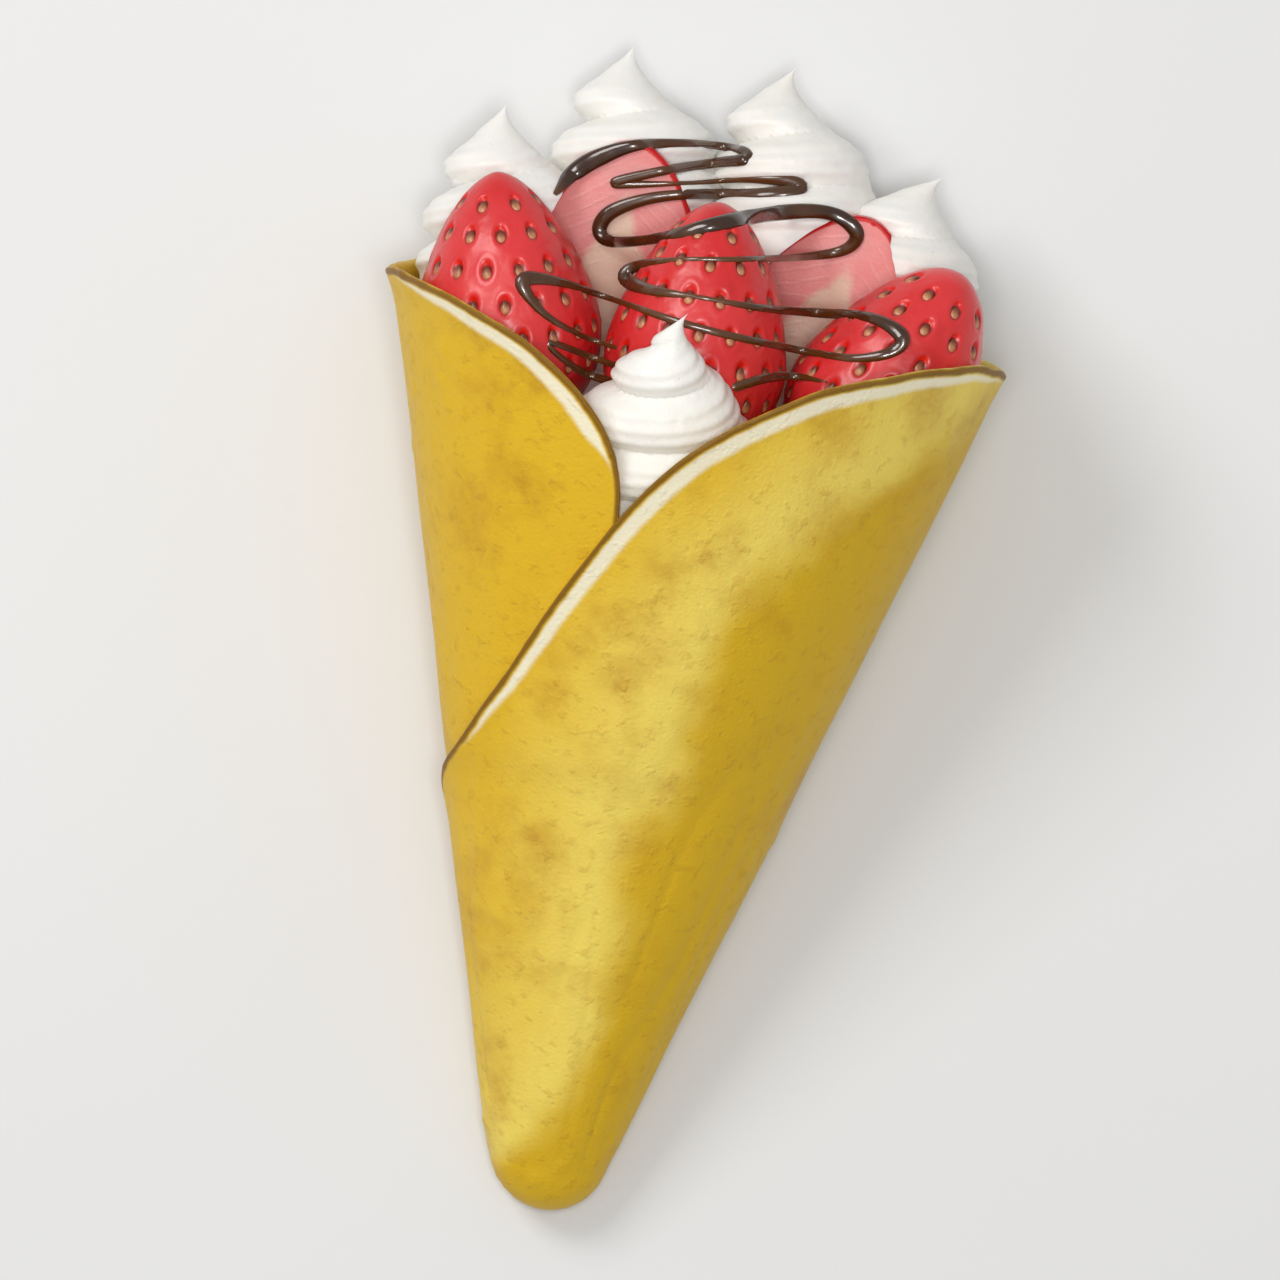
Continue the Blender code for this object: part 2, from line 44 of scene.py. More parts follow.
up = Vector((0, 0, 1))


def place(x, y, z):
    return Vector(((x - origin.x) * mm, (y - origin.y) * mm, z * mm))


def ease(value, start, end):
    share = min(max((value - start) / (end - start), 0.0), 1.0)
    return share * share * (3 - 2 * share)


def smoothSpan(start, slopeIn, end, slopeOut, share):
    square, cube = share ** 2, share ** 3
    return (
        start * (2 * cube - 3 * square + 1) + slopeIn * (cube - 2 * square + share)
        + end * (3 * square - 2 * cube) + slopeOut * (cube - square)
    )


def curveThrough(before, start, end, after, share):
    return smoothSpan(start, (end - before) / 2, end, (after - start) / 2, share)


def followStations(stations, value):
    last = len(stations) - 1
    value = min(max(value, stations[0][0]), stations[last][0])
    k = max(i for i in range(last) if stations[i][0] <= value)
    before, start, end, after = (stations[min(max(i, 0), last)] for i in range(k - 1, k + 3))
    span = end[0] - start[0]
    slopeIn = (end[1] - before[1]) / (end[0] - before[0]) * span
    slopeOut = (after[1] - start[1]) / (after[0] - start[0]) * span
    return smoothSpan(start[1], slopeIn, end[1], slopeOut, (value - start[0]) / span)


def addObject(name, data):
    made = bpy.data.objects.new(name, data)
    bpy.context.scene.collection.objects.link(made)
    return made


# Camera
cameraPlan = {
    "viewWidth": 230.4,
    "centre": Vector((-0.45, -1.15, 25.0)),  # from the middle of the part
    "lens": 800,
    "sensor": 36,
    "roll": 10.05,
}
print("camera")
cameraData = bpy.data.cameras.new("camera")
cameraData.lens = cameraPlan["lens"]
cameraData.sensor_width = cameraPlan["sensor"]
cameraData.clip_start = 0.1
cameraData.clip_end = 50
camera = addObject("camera", cameraData)
distance = cameraPlan["viewWidth"] * cameraPlan["lens"] / cameraPlan["sensor"]
camera.location = (cameraPlan["centre"] + up * distance) * mm
camera.rotation_euler = Euler((0, 0, radians(cameraPlan["roll"])))
bpy.context.scene.camera = camera
bpy.context.scene.view_settings.view_transform = "Standard"


# Node helpers, for shader trees and geometry trees alike
def feed(tree, socket, value):
    if isinstance(value, bpy.types.NodeSocket):
        tree.links.new(value, socket)
    elif value is not None:
        socket.default_value = value


def addNode(tree, kind, inputs=None, **settings):
    node = tree.nodes.new(kind)
    for name, value in settings.items():
        setattr(node, name, value)
    for name, value in (inputs or {}).items():
        feed(tree, node.inputs[name], value)
    return node


def calc(tree, operation, *values):
    node = addNode(tree, "ShaderNodeMath", operation=operation)
    for socket, value in zip(node.inputs, values):
        feed(tree, socket, value)
    return node.outputs[0]


def times(tree, first, second):
    return calc(tree, "MULTIPLY", first, second)


def timesPlus(tree, first, second, third):
    return calc(tree, "MULTIPLY_ADD", first, second, third)


def minus(tree, first, second):
    return calc(tree, "SUBTRACT", first, second)


def calcVector(tree, operation, first, second=None, scale=None):
    node = addNode(tree, "ShaderNodeVectorMath", operation=operation)
    feed(tree, node.inputs[0], first)
    feed(tree, node.inputs[1], second)
    if scale is not None:
        feed(tree, node.inputs["Scale"], scale)
    return node.outputs["Value" if operation in ("LENGTH", "DOT_PRODUCT") else "Vector"]


def smoothRange(tree, value, low, high):
    node = addNode(tree, "ShaderNodeMapRange", interpolation_type="SMOOTHSTEP")
    for name, given in (("Value", value), ("From Min", low), ("From Max", high)):
        feed(tree, node.inputs[name], given)
    return node.outputs[0]


def fallRange(tree, value, low, high):
    return minus(tree, 1.0, smoothRange(tree, value, low, high))


def cloudNoise(tree, vector, scale, detail):
    node = addNode(tree, "ShaderNodeTexNoise", {"Vector": vector, "Scale": scale, "Detail": detail})
    return node.outputs[0]


def mixColour(tree, share, first, second):
    node = addNode(tree, "ShaderNodeMix", data_type="RGBA")
    feed(tree, node.inputs[0], share)
    feed(tree, node.inputs[6], (*first, 1) if isinstance(first, tuple) else first)
    feed(tree, node.inputs[7], (*second, 1) if isinstance(second, tuple) else second)
    return node.outputs[2]


def endTree(tree, result, geometry, material):
    whole = addNode(tree, "GeometryNodeRealizeInstances", {0: geometry})
    values = {"Geometry": whole.outputs[0], "Material": material}
    dressed = addNode(tree, "GeometryNodeSetMaterial", values)
    feed(tree, result["Geometry"], dressed.outputs[0])


def newGroup(name, kind, inputs, outputs):
    tree = bpy.data.node_groups.new(name, kind)
    for label, socketKind, value in inputs:
        item = tree.interface.new_socket(name=label, in_out="INPUT", socket_type="NodeSocket" + socketKind)
        if value is not None:
            item.default_value = value
    for label, socketKind in outputs:
        tree.interface.new_socket(name=label, in_out="OUTPUT", socket_type="NodeSocket" + socketKind)
    return tree, addNode(tree, "NodeGroupInput").outputs, addNode(tree, "NodeGroupOutput").inputs


# Shared effects of the materials
def makePatchGroup():
    tree, given, result = newGroup(
        "softPatches", "ShaderNodeTree",
        [("Vector", "Vector", None), ("Size", "Float", 10.0), ("Detail", "Float", 3.0),
         ("Low", "Float", 0.4), ("High", "Float", 0.6)],
        [("Mask", "Float")],
    )
    scale = calc(tree, "DIVIDE", 1 / mm, given["Size"])
    cloud = addNode(
        tree, "ShaderNodeTexNoise",
        {"Vector": given["Vector"], "Scale": scale, "Detail": given["Detail"], "Roughness": 0.55},
    )
    feed(tree, result["Mask"], smoothRange(tree, cloud.outputs[0], given["Low"], given["High"]))
    return tree


def makePoreGroup():
    tree, given, result = newGroup(
        "finePores", "ShaderNodeTree",
        [("Vector", "Vector", None), ("Size", "Float", 2.0), ("Width", "Float", 0.35),
         ("Share", "Float", 0.5)],
        [("Pit", "Float")],
    )
    scale = calc(tree, "DIVIDE", 1 / mm, given["Size"])
    cells = addNode(tree, "ShaderNodeTexVoronoi", {"Vector": given["Vector"], "Scale": scale})
    pit = fallRange(tree, cells.outputs["Distance"], 0.0, given["Width"])
    lucky = addNode(tree, "ShaderNodeSeparateColor", {"Color": cells.outputs["Color"]})
    chosen = calc(tree, "LESS_THAN", lucky.outputs[0], given["Share"])
    feed(tree, result["Pit"], times(tree, pit, chosen))
    return tree


patchGroup = makePatchGroup()
poreGroup = makePoreGroup()


def groupValue(tree, group, values):
    node = addNode(tree, "ShaderNodeGroup", node_tree=group)
    for name, value in values.items():
        feed(tree, node.inputs[name], value)
    return node.outputs[0]


def patches(tree, vector, size, low, high, detail=3.0):
    values = {"Vector": vector, "Size": size, "Detail": detail, "Low": low, "High": high}
    return groupValue(tree, patchGroup, values)


def pores(tree, vector, size, width, share):
    values = {"Vector": vector, "Size": size, "Width": width, "Share": share}
    return groupValue(tree, poreGroup, values)


def startMaterial(name, constants):
    material = bpy.data.materials.new(name)
    material.use_nodes = True
    tree = material.node_tree
    shader = tree.nodes["Principled BSDF"]
    for label, value in constants.items():
        shader.inputs[label].default_value = value
    coordinates = addNode(tree, "ShaderNodeTexCoord").outputs["Object"]
    return material, tree, shader.inputs, coordinates


def surfaceValue(tree, name):
    return addNode(tree, "ShaderNodeAttribute", attribute_name=name).outputs["Fac"]


def finishLook(tree, shader, colour, roughness, layers):
    feed(tree, shader["Base Color"], colour)
    feed(tree, shader["Roughness"], timesPlus(tree, *roughness))
    feed(tree, shader["Normal"], bump(tree, layers))


def shifted(tree, vector, offset):
    return calcVector(tree, "ADD", vector, offset)


def bump(tree, layers):
    normal = None
    for height, distance in layers:  # distance in millimetres
        values = {"Height": height, "Distance": distance * mm}
        node = addNode(tree, "ShaderNodeBump", values)
        if normal is not None:
            feed(tree, node.inputs["Normal"], normal)
        normal = node.outputs["Normal"]
    return normal


# Materials
def makeCrepeMaterial():
    look = {
        "golden": (0.75, 0.47, 0.018),
        "paintedHighlight": (0.88, 0.68, 0.125),
        "paintedShade": (0.67, 0.415, 0.008),
        "browned": (0.50, 0.235, 0.012),
        "freckle": (0.40, 0.165, 0.014),
        "rimHighlight": (0.93, 0.87, 0.66),
        "crispEdge": (0.19, 0.08, 0.006),
        # Spans in millimetres, but for the lace, whose span is of its noise; shares of each colour
        "wander": 22.0,
        "highlightSpan": (-36.0, -5.0),
        "shadeSpan": (-6.5, 4.0),
        "shadeShare": 0.97,
        "brownShare": 0.42,
        "freckleShare": 0.2,
        "laceSpan": (0.005, 0.07),
        "laceShare": (0.12, 0.025),  # with the browning, and everywhere
        "spotShare": (0.2, 0.1),
        "spotDrift": 0.0045,  # metres
        "edgeWander": 0.7,
        "bandInner": (0.7, 1.5),
        "bandOuter": (-0.7, 0.7),
        "bandShare": 0.92,
        "crispSpan": (0.35, 1.15),
        "crispShare": 0.9,
    }
    material, tree, shader, spot = startMaterial(
        "goldenCrepe",
        {"Subsurface Weight": 0.12, "Subsurface Radius": (0.9, 0.5, 0.2), "Subsurface Scale": 0.0016,
         "Coat Weight": 0.05, "Coat Roughness": 0.35, "Specular IOR Level": 0.22},
    )
    # Painted highlight over the middle, painted shade on the right and at the tip
    cloud = cloudNoise(tree, spot, 38.0, 3.0)
    side = timesPlus(tree, minus(tree, cloud, 0.5), look["wander"], surfaceValue(tree, "pastLight"))
    highlightShare = smoothRange(tree, side, *look["highlightSpan"])
    colour = mixColour(tree, highlightShare, look["golden"], look["paintedHighlight"])
    # Painted shade: darker golden right of the boundary, and at the tip
    paintedShadeMask = times(tree, smoothRange(tree, side, *look["shadeSpan"]), look["shadeShare"])
    colour = mixColour(tree, paintedShadeMask, colour, look["paintedShade"])
    browning = patches(tree, shifted(tree, spot, (0.31, 0.1, 0.2)), 17, 0.48, 0.74, 5.0)
    colour = mixColour(tree, times(tree, browning, look["brownShare"]), colour, look["browned"])
    freckles = patches(tree, shifted(tree, spot, (0.7, 0.4, 0.1)), 2.6, 0.56, 0.72, 2.0)
    colour = mixColour(tree, times(tree, freckles, look["freckleShare"]), colour, look["browned"])
    # Lacy browning, as the hot pan leaves it
    lace = cloudNoise(tree, spot, 210.0, 3.0)
    lace = calc(tree, "ABSOLUTE", minus(tree, lace, 0.5))
    lace = fallRange(tree, lace, *look["laceSpan"])
    lace = times(tree, lace, timesPlus(tree, browning, *look["laceShare"]))
    colour = mixColour(tree, lace, colour, look["freckle"])
    drift = addNode(tree, "ShaderNodeTexNoise", {"Vector": spot, "Scale": 330.0, "Detail": 2.0})
    drift = drift.outputs["Color"]
    drift = calcVector(tree, "SUBTRACT", drift, (0.5, 0.5, 0.5))
    drift = calcVector(tree, "SCALE", drift, scale=look["spotDrift"])
    spots = pores(tree, calcVector(tree, "ADD", spot, drift), 7.0, 0.46, 0.5)
    spots = times(tree, spots, timesPlus(tree, browning, *look["spotShare"]))
    colour = mixColour(tree, spots, colour, look["freckle"])
    fromEdge = surfaceValue(tree, "fromEdge")
    wander = cloudNoise(tree, spot, 260.0, 3.0)
    wander = times(tree, minus(tree, wander, 0.5), look["edgeWander"])
    fromEdge = calc(tree, "ADD", fromEdge, wander)
    # Painted highlight: a pale band inside the rim of each flap, widest mid-edge
    pastBand = minus(tree, fromEdge, surfaceValue(tree, "bandWidth"))
    inner = smoothRange(tree, fromEdge, *look["bandInner"])
    rimHighlightMask = times(tree, inner, fallRange(tree, pastBand, *look["bandOuter"]))
    colour = mixColour(tree, times(tree, rimHighlightMask, look["bandShare"]), colour, look["rimHighlight"])
    crisp = fallRange(tree, fromEdge, *look["crispSpan"])
    colour = mixColour(tree, times(tree, crisp, look["crispShare"]), colour, look["crispEdge"])
    gloss = timesPlus(tree, browning, -0.08, 0.46)
    grain = cloudNoise(tree, spot, 1500.0, 4.0)
    pits = minus(tree, 1.0, pores(tree, spot, 2.1, 0.3, 0.45))
    layers = [(pits, 0.1), (freckles, 0.1), (grain, 0.16)]
    finishLook(tree, shader, colour, (freckles, 0.08, gloss), layers)
    return material


def makeCreamMaterial():
    look = {"white": (0.90, 0.885, 0.84), "warm": (0.87, 0.835, 0.75), "warmShare": 0.5}
    material, tree, shader, spot = startMaterial(
        "whippedCream",
        {"Subsurface Weight": 0.28, "Subsurface Radius": (1.0, 0.85, 0.6), "Subsurface Scale": 0.002,
         "Coat Weight": 0.06, "Coat Roughness": 0.4},
    )
    cloud = patches(tree, spot, 22, 0.42, 0.72)
    colour = mixColour(tree, times(tree, cloud, look["warmShare"]), look["white"], look["warm"])
    grain = cloudNoise(tree, spot, 900.0, 5.0)
    soft = cloudNoise(tree, spot, 240.0, 3.0)
    holes = minus(tree, 1.0, pores(tree, spot, 1.7, 0.16, 0.14))
    layers = [(soft, 0.35), (grain, 0.1), (holes, 0.12)]
    finishLook(tree, shader, colour, (cloud, 0.1, 0.42), layers)
    return material


def makeBerryMaterial():
    look = {
        "red": (0.66, 0.020, 0.022),
        "deep": (0.36, 0.004, 0.006),
        "bright": (0.80, 0.055, 0.06),
        "dimpleHighlight": (0.74, 0.008, 0.002),
        "dimpleShadow": (0.17, 0.008, 0.004),
        "brightShare": 0.6,
        "deepShare": 0.5,
        "stemShadeShare": 0.45,
    }
    material, tree, shader, spot = startMaterial(
        "strawberrySkin",
        {"Subsurface Weight": 0.15, "Subsurface Radius": (1.0, 0.2, 0.15), "Subsurface Scale": 0.002,
         "Coat Weight": 0.35, "Coat Roughness": 0.24, "Specular IOR Level": 0.4},
    )
    cloud = patches(tree, spot, 26, 0.4, 0.68)
    colour = mixColour(tree, times(tree, cloud, look["brightShare"]), look["red"], look["bright"])
    dark = patches(tree, shifted(tree, spot, (0.2, 0.6, 0.4)), 15, 0.5, 0.78, 4.0)
    colour = mixColour(tree, times(tree, dark, look["deepShare"]), colour, look["deep"])
    # Painted shade: deeper red towards the stem end, where the berry lies lower
    stemShade = times(tree, surfaceValue(tree, "stemShade"), look["stemShadeShare"])
    colour = mixColour(tree, stemShade, colour, look["deep"])
    # Painted light on the tip-side wall of each dimple, painted shadow over the rest of it round the seed
    colour = mixColour(tree, surfaceValue(tree, "dimpleHighlight"), colour, look["dimpleHighlight"])
    colour = mixColour(tree, surfaceValue(tree, "dimpleShadow"), colour, look["dimpleShadow"])
    grain = cloudNoise(tree, spot, 1300.0, 3.0)
    soft = cloudNoise(tree, spot, 320.0, 2.0)
    finishLook(tree, shader, colour, (grain, 0.14, 0.3), [(soft, 0.14), (grain, 0.04)])
    return material


def makeSeedMaterial():
    look = {
        "tan": (0.63, 0.27, 0.12),
        "brown": (0.15, 0.03, 0.009),
        "brownSpan": (-0.75, 0.65),
        "speckleShare": 0.3,
    }
    material, tree, shader, spot = startMaterial(
        "strawberrySeed", {"Coat Weight": 0.3, "Coat Roughness": 0.25, "Specular IOR Level": 0.5}
    )
    share = smoothRange(tree, surfaceValue(tree, "seedLength"), *look["brownSpan"])
    speckle = patches(tree, spot, 1.1, 0.4, 0.7)
    colour = mixColour(tree, share, look["tan"], look["brown"])
    colour = mixColour(tree, times(tree, speckle, look["speckleShare"]), colour, look["brown"])
    grain = cloudNoise(tree, spot, 3500.0, 2.0)
    finishLook(tree, shader, colour, (speckle, 0.15, 0.32), [(grain, 0.05)])
    return material


def makeFleshMaterial():
    look = {
        "pink": (0.98, 0.40, 0.385),
        "rosy": (0.94, 0.28, 0.27),
        "core": (0.99, 0.74, 0.58),
        "vein": (0.97, 0.55, 0.51),
        "rim": (0.62, 0.006, 0.006),
        # Spans and pitch in millimetres, but for the veins' wave; shares of each colour
        "rosyShare": 0.3,
        "skinSpan": (0.6, 4.2),
        "skinShare": 0.55,
        "veinLean": 0.75,
        "veinWander": 3.0,
        "veinPitch": 3.1,
        "veinWave": (0.55, 1.0),
        "veinShare": 0.17,
        "coreLengths": (8.0, 30.0),
        "coreWidth": (6.0, 0.8),  # gained over those lengths, and at the tip
        "coreWander": 3.5,
        "coreEdge": (-1.1, 1.1),
        "coreFrom": (8.0, 14.0),
        "coreShare": 0.95,
        "rimSpan": (0.75, 1.2),
    }
    material, tree, shader, spot = startMaterial(
        "strawberryFlesh",
        {"Subsurface Weight": 0.45, "Subsurface Radius": (1.0, 0.4, 0.3), "Subsurface Scale": 0.004,
         "Coat Weight": 0.3, "Coat Roughness": 0.24},
    )
    across = surfaceValue(tree, "across")
    along = surfaceValue(tree, "along")
    fromRim = surfaceValue(tree, "fromRim")
    wander = cloudNoise(tree, spot, 210.0, 3.0)
    offCentre = calc(tree, "ABSOLUTE", across)
    cloud = patches(tree, spot, 9, 0.4, 0.7)
    colour = mixColour(tree, times(tree, cloud, look["rosyShare"]), look["pink"], look["rosy"])
    nearSkin = fallRange(tree, fromRim, *look["skinSpan"])
    colour = mixColour(tree, times(tree, nearSkin, look["skinShare"]), colour, look["rosy"])
    # Veins fan out from the core towards the skin, leaning to the tip
    fan = minus(tree, along, times(tree, offCentre, look["veinLean"]))
    fan = calc(tree, "ADD", fan, times(tree, wander, look["veinWander"]))
    wave = calc(tree, "SINE", times(tree, fan, 2 * pi / look["veinPitch"]))
    veins = smoothRange(tree, wave, *look["veinWave"])
    reach = times(tree, smoothRange(tree, offCentre, 1.5, 4.0), smoothRange(tree, fromRim, 0.9, 3.2))
    veins = times(tree, veins, reach)
    colour = mixColour(tree, times(tree, veins, look["veinShare"]), colour, look["vein"])
    # The pale core is a wedge that widens to the stem
    width = timesPlus(tree, smoothRange(tree, along, *look["coreLengths"]), *look["coreWidth"])
    wander = times(tree, minus(tree, wander, 0.5), look["coreWander"])
    edge = calc(tree, "ADD", offCentre, wander)
    core = fallRange(tree, minus(tree, edge, width), *look["coreEdge"])
    core = times(tree, core, smoothRange(tree, along, *look["coreFrom"]))
    colour = mixColour(tree, times(tree, core, look["coreShare"]), colour, look["core"])
    rim = fallRange(tree, fromRim, *look["rimSpan"])
    colour = mixColour(tree, rim, colour, look["rim"])
    grain = cloudNoise(tree, spot, 1400.0, 3.0)
    finishLook(tree, shader, colour, (grain, 0.2, 0.26), [(veins, 0.05), (grain, 0.1)])
    return material


def makeChocolateMaterial():
    look = {
        "dark": (0.034, 0.011, 0.0025),
        "brown": (0.13, 0.043, 0.007),
        "thinSpan": (0.0003, 0.0014),  # radius in metres
        "thinShare": 0.5,
        "cloudShare": 0.4,
    }
    material, tree, shader, spot = startMaterial(
        "chocolateSauce", {"Coat Weight": 0.8, "Coat Roughness": 0.07, "Specular IOR Level": 0.5}
    )
    thin = fallRange(tree, surfaceValue(tree, "threadRadius"), *look["thinSpan"])
    cloud = patches(tree, spot, 14, 0.35, 0.65)
    share = timesPlus(tree, thin, look["thinShare"], times(tree, cloud, look["cloudShare"]))
    colour = mixColour(tree, share, look["dark"], look["brown"])
    soft = cloudNoise(tree, spot, 300.0, 2.0)
    finishLook(tree, shader, colour, (cloud, 0.1, 0.2), [(soft, 0.12)])
    return material


print("materials")
crepeMaterial = makeCrepeMaterial()
creamMaterial = makeCreamMaterial()
berryMaterial = makeBerryMaterial()
seedMaterial = makeSeedMaterial()
fleshMaterial = makeFleshMaterial()
chocolateMaterial = makeChocolateMaterial()


# Mesh helpers
def meshObject(name, points, faces, links=()):
    mesh = bpy.data.meshes.new(name)
    mesh.from_pydata(points, list(links), faces)
    return addObject(name, mesh)


def setValues(piece, name, values, kind="FLOAT"):
    layer = piece.data.attributes.new(name, kind, "POINT")
    if kind == "FLOAT":
        layer.data.foreach_set("value", values)
    else:
        layer.data.foreach_set("vector", [part for value in values for part in value])


def outward(piece):
    bm = bmesh.new()
    bm.from_mesh(piece.data)
    bmesh.ops.recalc_face_normals(bm, faces=bm.faces)
    if bm.calc_volume(signed=True) < 0:
        bmesh.ops.reverse_faces(bm, faces=bm.faces)
    bm.to_mesh(piece.data)
    bm.free()


def finderOf(spots):
    finder = kdtree.KDTree(len(spots))
    for k, spot in enumerate(spots):
        finder.insert(spot, k)
    finder.balance()
    return finder


def loftObject(name, rings, start, end):
    points = [point for ring in rings for point in ring] + [start, end]
    size = len(rings[0])
    faces = []
    for row in range(len(rings) - 1):
        for k in range(size):
            after = (k + 1) % size
            low, high = row * size, (row + 1) * size
            faces.append((low + k, low + after, high + after, high + k))
    for first, pole in ((0, len(points) - 2), ((len(rings) - 1) * size, len(points) - 1)):
        faces += [(first + k, first + (k + 1) % size, pole) for k in range(size)]
    made = meshObject(name, [place(*point) for point in points], faces)
    outward(made)
    return made


def settle(piece):
    graph = bpy.context.evaluated_depsgraph_get()
    result = bpy.data.meshes.new_from_object(piece.evaluated_get(graph))
    piece.modifiers.clear()
    old = piece.data
    piece.data = result
    bpy.data.meshes.remove(old)


def growWith(piece, tree, values):
    modifier = piece.modifiers.new(tree.name, "NODES")
    modifier.node_group = tree
    for item in tree.interface.items_tree:
        if item.item_type == "SOCKET" and item.in_out == "INPUT" and item.name in values:
            modifier[item.identifier] = values[item.name]
    bpy.context.view_layer.update()
    settle(piece)


def carve(piece, operation, others):
    helpers = bpy.data.collections.new("helpers")
    bpy.context.scene.collection.children.link(helpers)
    for other in others:
        helpers.objects.link(other)
    modifier = piece.modifiers.new("carve", "BOOLEAN")
    modifier.operation = operation
    modifier.solver = "MANIFOLD"
    modifier.operand_type = "COLLECTION"
    modifier.collection = helpers
    bpy.context.view_layer.update()
    settle(piece)
    for other in others:
        bpy.data.objects.remove(other, do_unlink=True)
    bpy.data.collections.remove(helpers)


def nodeName(name):
    # The node of the CAD that a piece stands for: creamSwirlLeft is cream_swirl_left there
    return "".join("_" + letter.lower() if letter.isupper() else letter for letter in name)


def finishPiece(piece, materials, nodes=(), sharpness=None):
    mesh = piece.data
    indices = [face.material_index if len(materials) > 1 else 0 for face in mesh.polygons]
    mesh.materials.clear()
    for material in materials:
        mesh.materials.append(material)
    mesh.polygons.foreach_set("material_index", indices)
    mesh.shade_smooth()
    if sharpness:
        mesh.set_sharp_from_angle(angle=radians(sharpness))
    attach(piece, "root")
    if nodes:
        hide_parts(*nodes)


# The cone that the crepe follows
cone = {
    "halfWidth": 0.2972,  # for each millimetre from the apex
    "halfDepth": 0.22,
    "backRoundness": 0.85,
    "backPressed": 1.06,
    "tipTangent": 33.7,
    "tipRadius": 10.5,
    "tipCentre": 36.7,
}


def section(angle, length):
    across, rise = cos(radians(angle)), sin(radians(angle))
    halfWidth, halfDepth = cone["halfWidth"] * length, cone["halfDepth"] * length
    if rise >= 0:
        return halfWidth * across, halfDepth * (1 + rise)
    side = 1 if across >= 0 else -1
    x = halfWidth * side * abs(across) ** cone["backRoundness"]
    return x, halfDepth * (1 - cone["backPressed"] * abs(rise) ** cone["backRoundness"])


def conePoint(angle, length, lift):
    widened = max(length, cone["tipTangent"])
    x, z = section(angle, widened)
    before, after = section(angle - 1, widened), section(angle + 1, widened)
    along = Vector((after[0] - before[0], after[1] - before[1])).normalized()
    x += along.y * lift
    z = max(z - along.x * lift, -lift, 0.0)
    if length < cone["tipTangent"]:
        reach = sqrt(max(cone["tipRadius"] ** 2 - (cone["tipCentre"] - length) ** 2, 0.01))
        share = reach / (cone["halfWidth"] * cone["tipTangent"])
        middle = cone["halfDepth"] * cone["tipTangent"]
        x, z = x * share, middle + (z - middle) * share
    return x, length, z


# Crepe: one sheet, wound from the left flap round the back and over it again as the right flap
crepe = {
    "thickness": 1.5,
    "start": 100,
    "end": 560,
    "columns": 400,
    "crowding": 1.2,  # the columns lie closer together at the foot of the left flap's edge
    "outerRows": 130,
    "innerRows": 34,
    "edgeRows": 6,
    "footCrowding": 1.8,
    "topCrowding": 1.45,
    "innerCrowding": 1.3,
    "tip": 26.2,
    "hiddenFoot": 90.0,
    "footTurns": (184, 199),  # where the foot of the sheet comes down to the tip
    "midTurn": 300,  # parts the edge of the left flap from that of the right one
    "neck": 150.0,
    "corner": 188.0,
    "flapSpan": 80.0,
    "flapPower": 2.2,
    "backRise": 5.5,
    "rightEdge": (
        (0, 188.3), (24, 188.5), (46, 185.0), (68, 177.1), (90, 161.2),
        (110, 138.0), (122, 124.8), (133, 115.9), (150, 106.6), (180, 97.5), (200, 84.0),
    ),
    "paintedShadeFrom": (  # length along the cone, and x where the painted shade of the right side begins
        (18, -36.0), (36, -3.0), (45, 4.5), (65, 7.5), (102, 9.0),
        (121, 13.5), (149, 23.0), (180, 50.0), (200, 72.0),
    ),
    "overlapTurns": (395, 455),
    "overlapLengths": (27, 40),
    "overCore": 1.0,
    "overSheet": 1.9,
    "sheetLengths": (100, 108),  # below them the flap lies on the core, above them on the other flap
    "edgeFoot": 84.0,
    "edgeStep": 0.3,
    "edgeWave": 0.55,
    "lipLift": 1.3,
    "lipWidth": 7.0,
    "lipStart": (106, 128),
    "lipSide": (170, 190),
    "lipEnd": (530, 556),
    "backTurns": (190, 365),
    "lipAtBack": 0.5,
    "dents": 0.55,
    "dentSize": 31,
    "dentLengths": (34, 60),
    "creases": 0.36,
    "creaseSpread": 3.2,
    "creaseRun": 62,
    "creaseSharpness": 3.2,
    "creaseLengths": (30, 48),
    "creaseFade": 0.6,
    "creaseFadeLengths": (90, 160),
    "leftBand": 3.7,
    "leftBandStart": (99.5, 107),
    "leftBandEnd": (184, 130),
    "rightBand": 4.0,
    "rightBandFrom": 362,
    "rightBandSpan": 150,
    "rightBandPower": 0.6,
    "backBand": 0.8,
}


def sheetTop(turn):
    if turn <= 180:
        share = (180 - turn) / crepe["flapSpan"]
        rise = (1 - share ** crepe["flapPower"]) ** (1 / crepe["flapPower"])
        return crepe["neck"] + (crepe["corner"] - crepe["neck"]) * rise
    if turn <= 360:
        return crepe["corner"] + crepe["backRise"] * sin(radians(turn - 180))
    return followStations(crepe["rightEdge"], turn - 360)


def wavyTop(turn):
    wave = noise.noise(Vector((turn / 17, 3.1, 0))) + 0.5 * noise.noise(Vector((turn / 7, 9.4, 0)))
    return sheetTop(turn) + crepe["edgeWave"] * wave


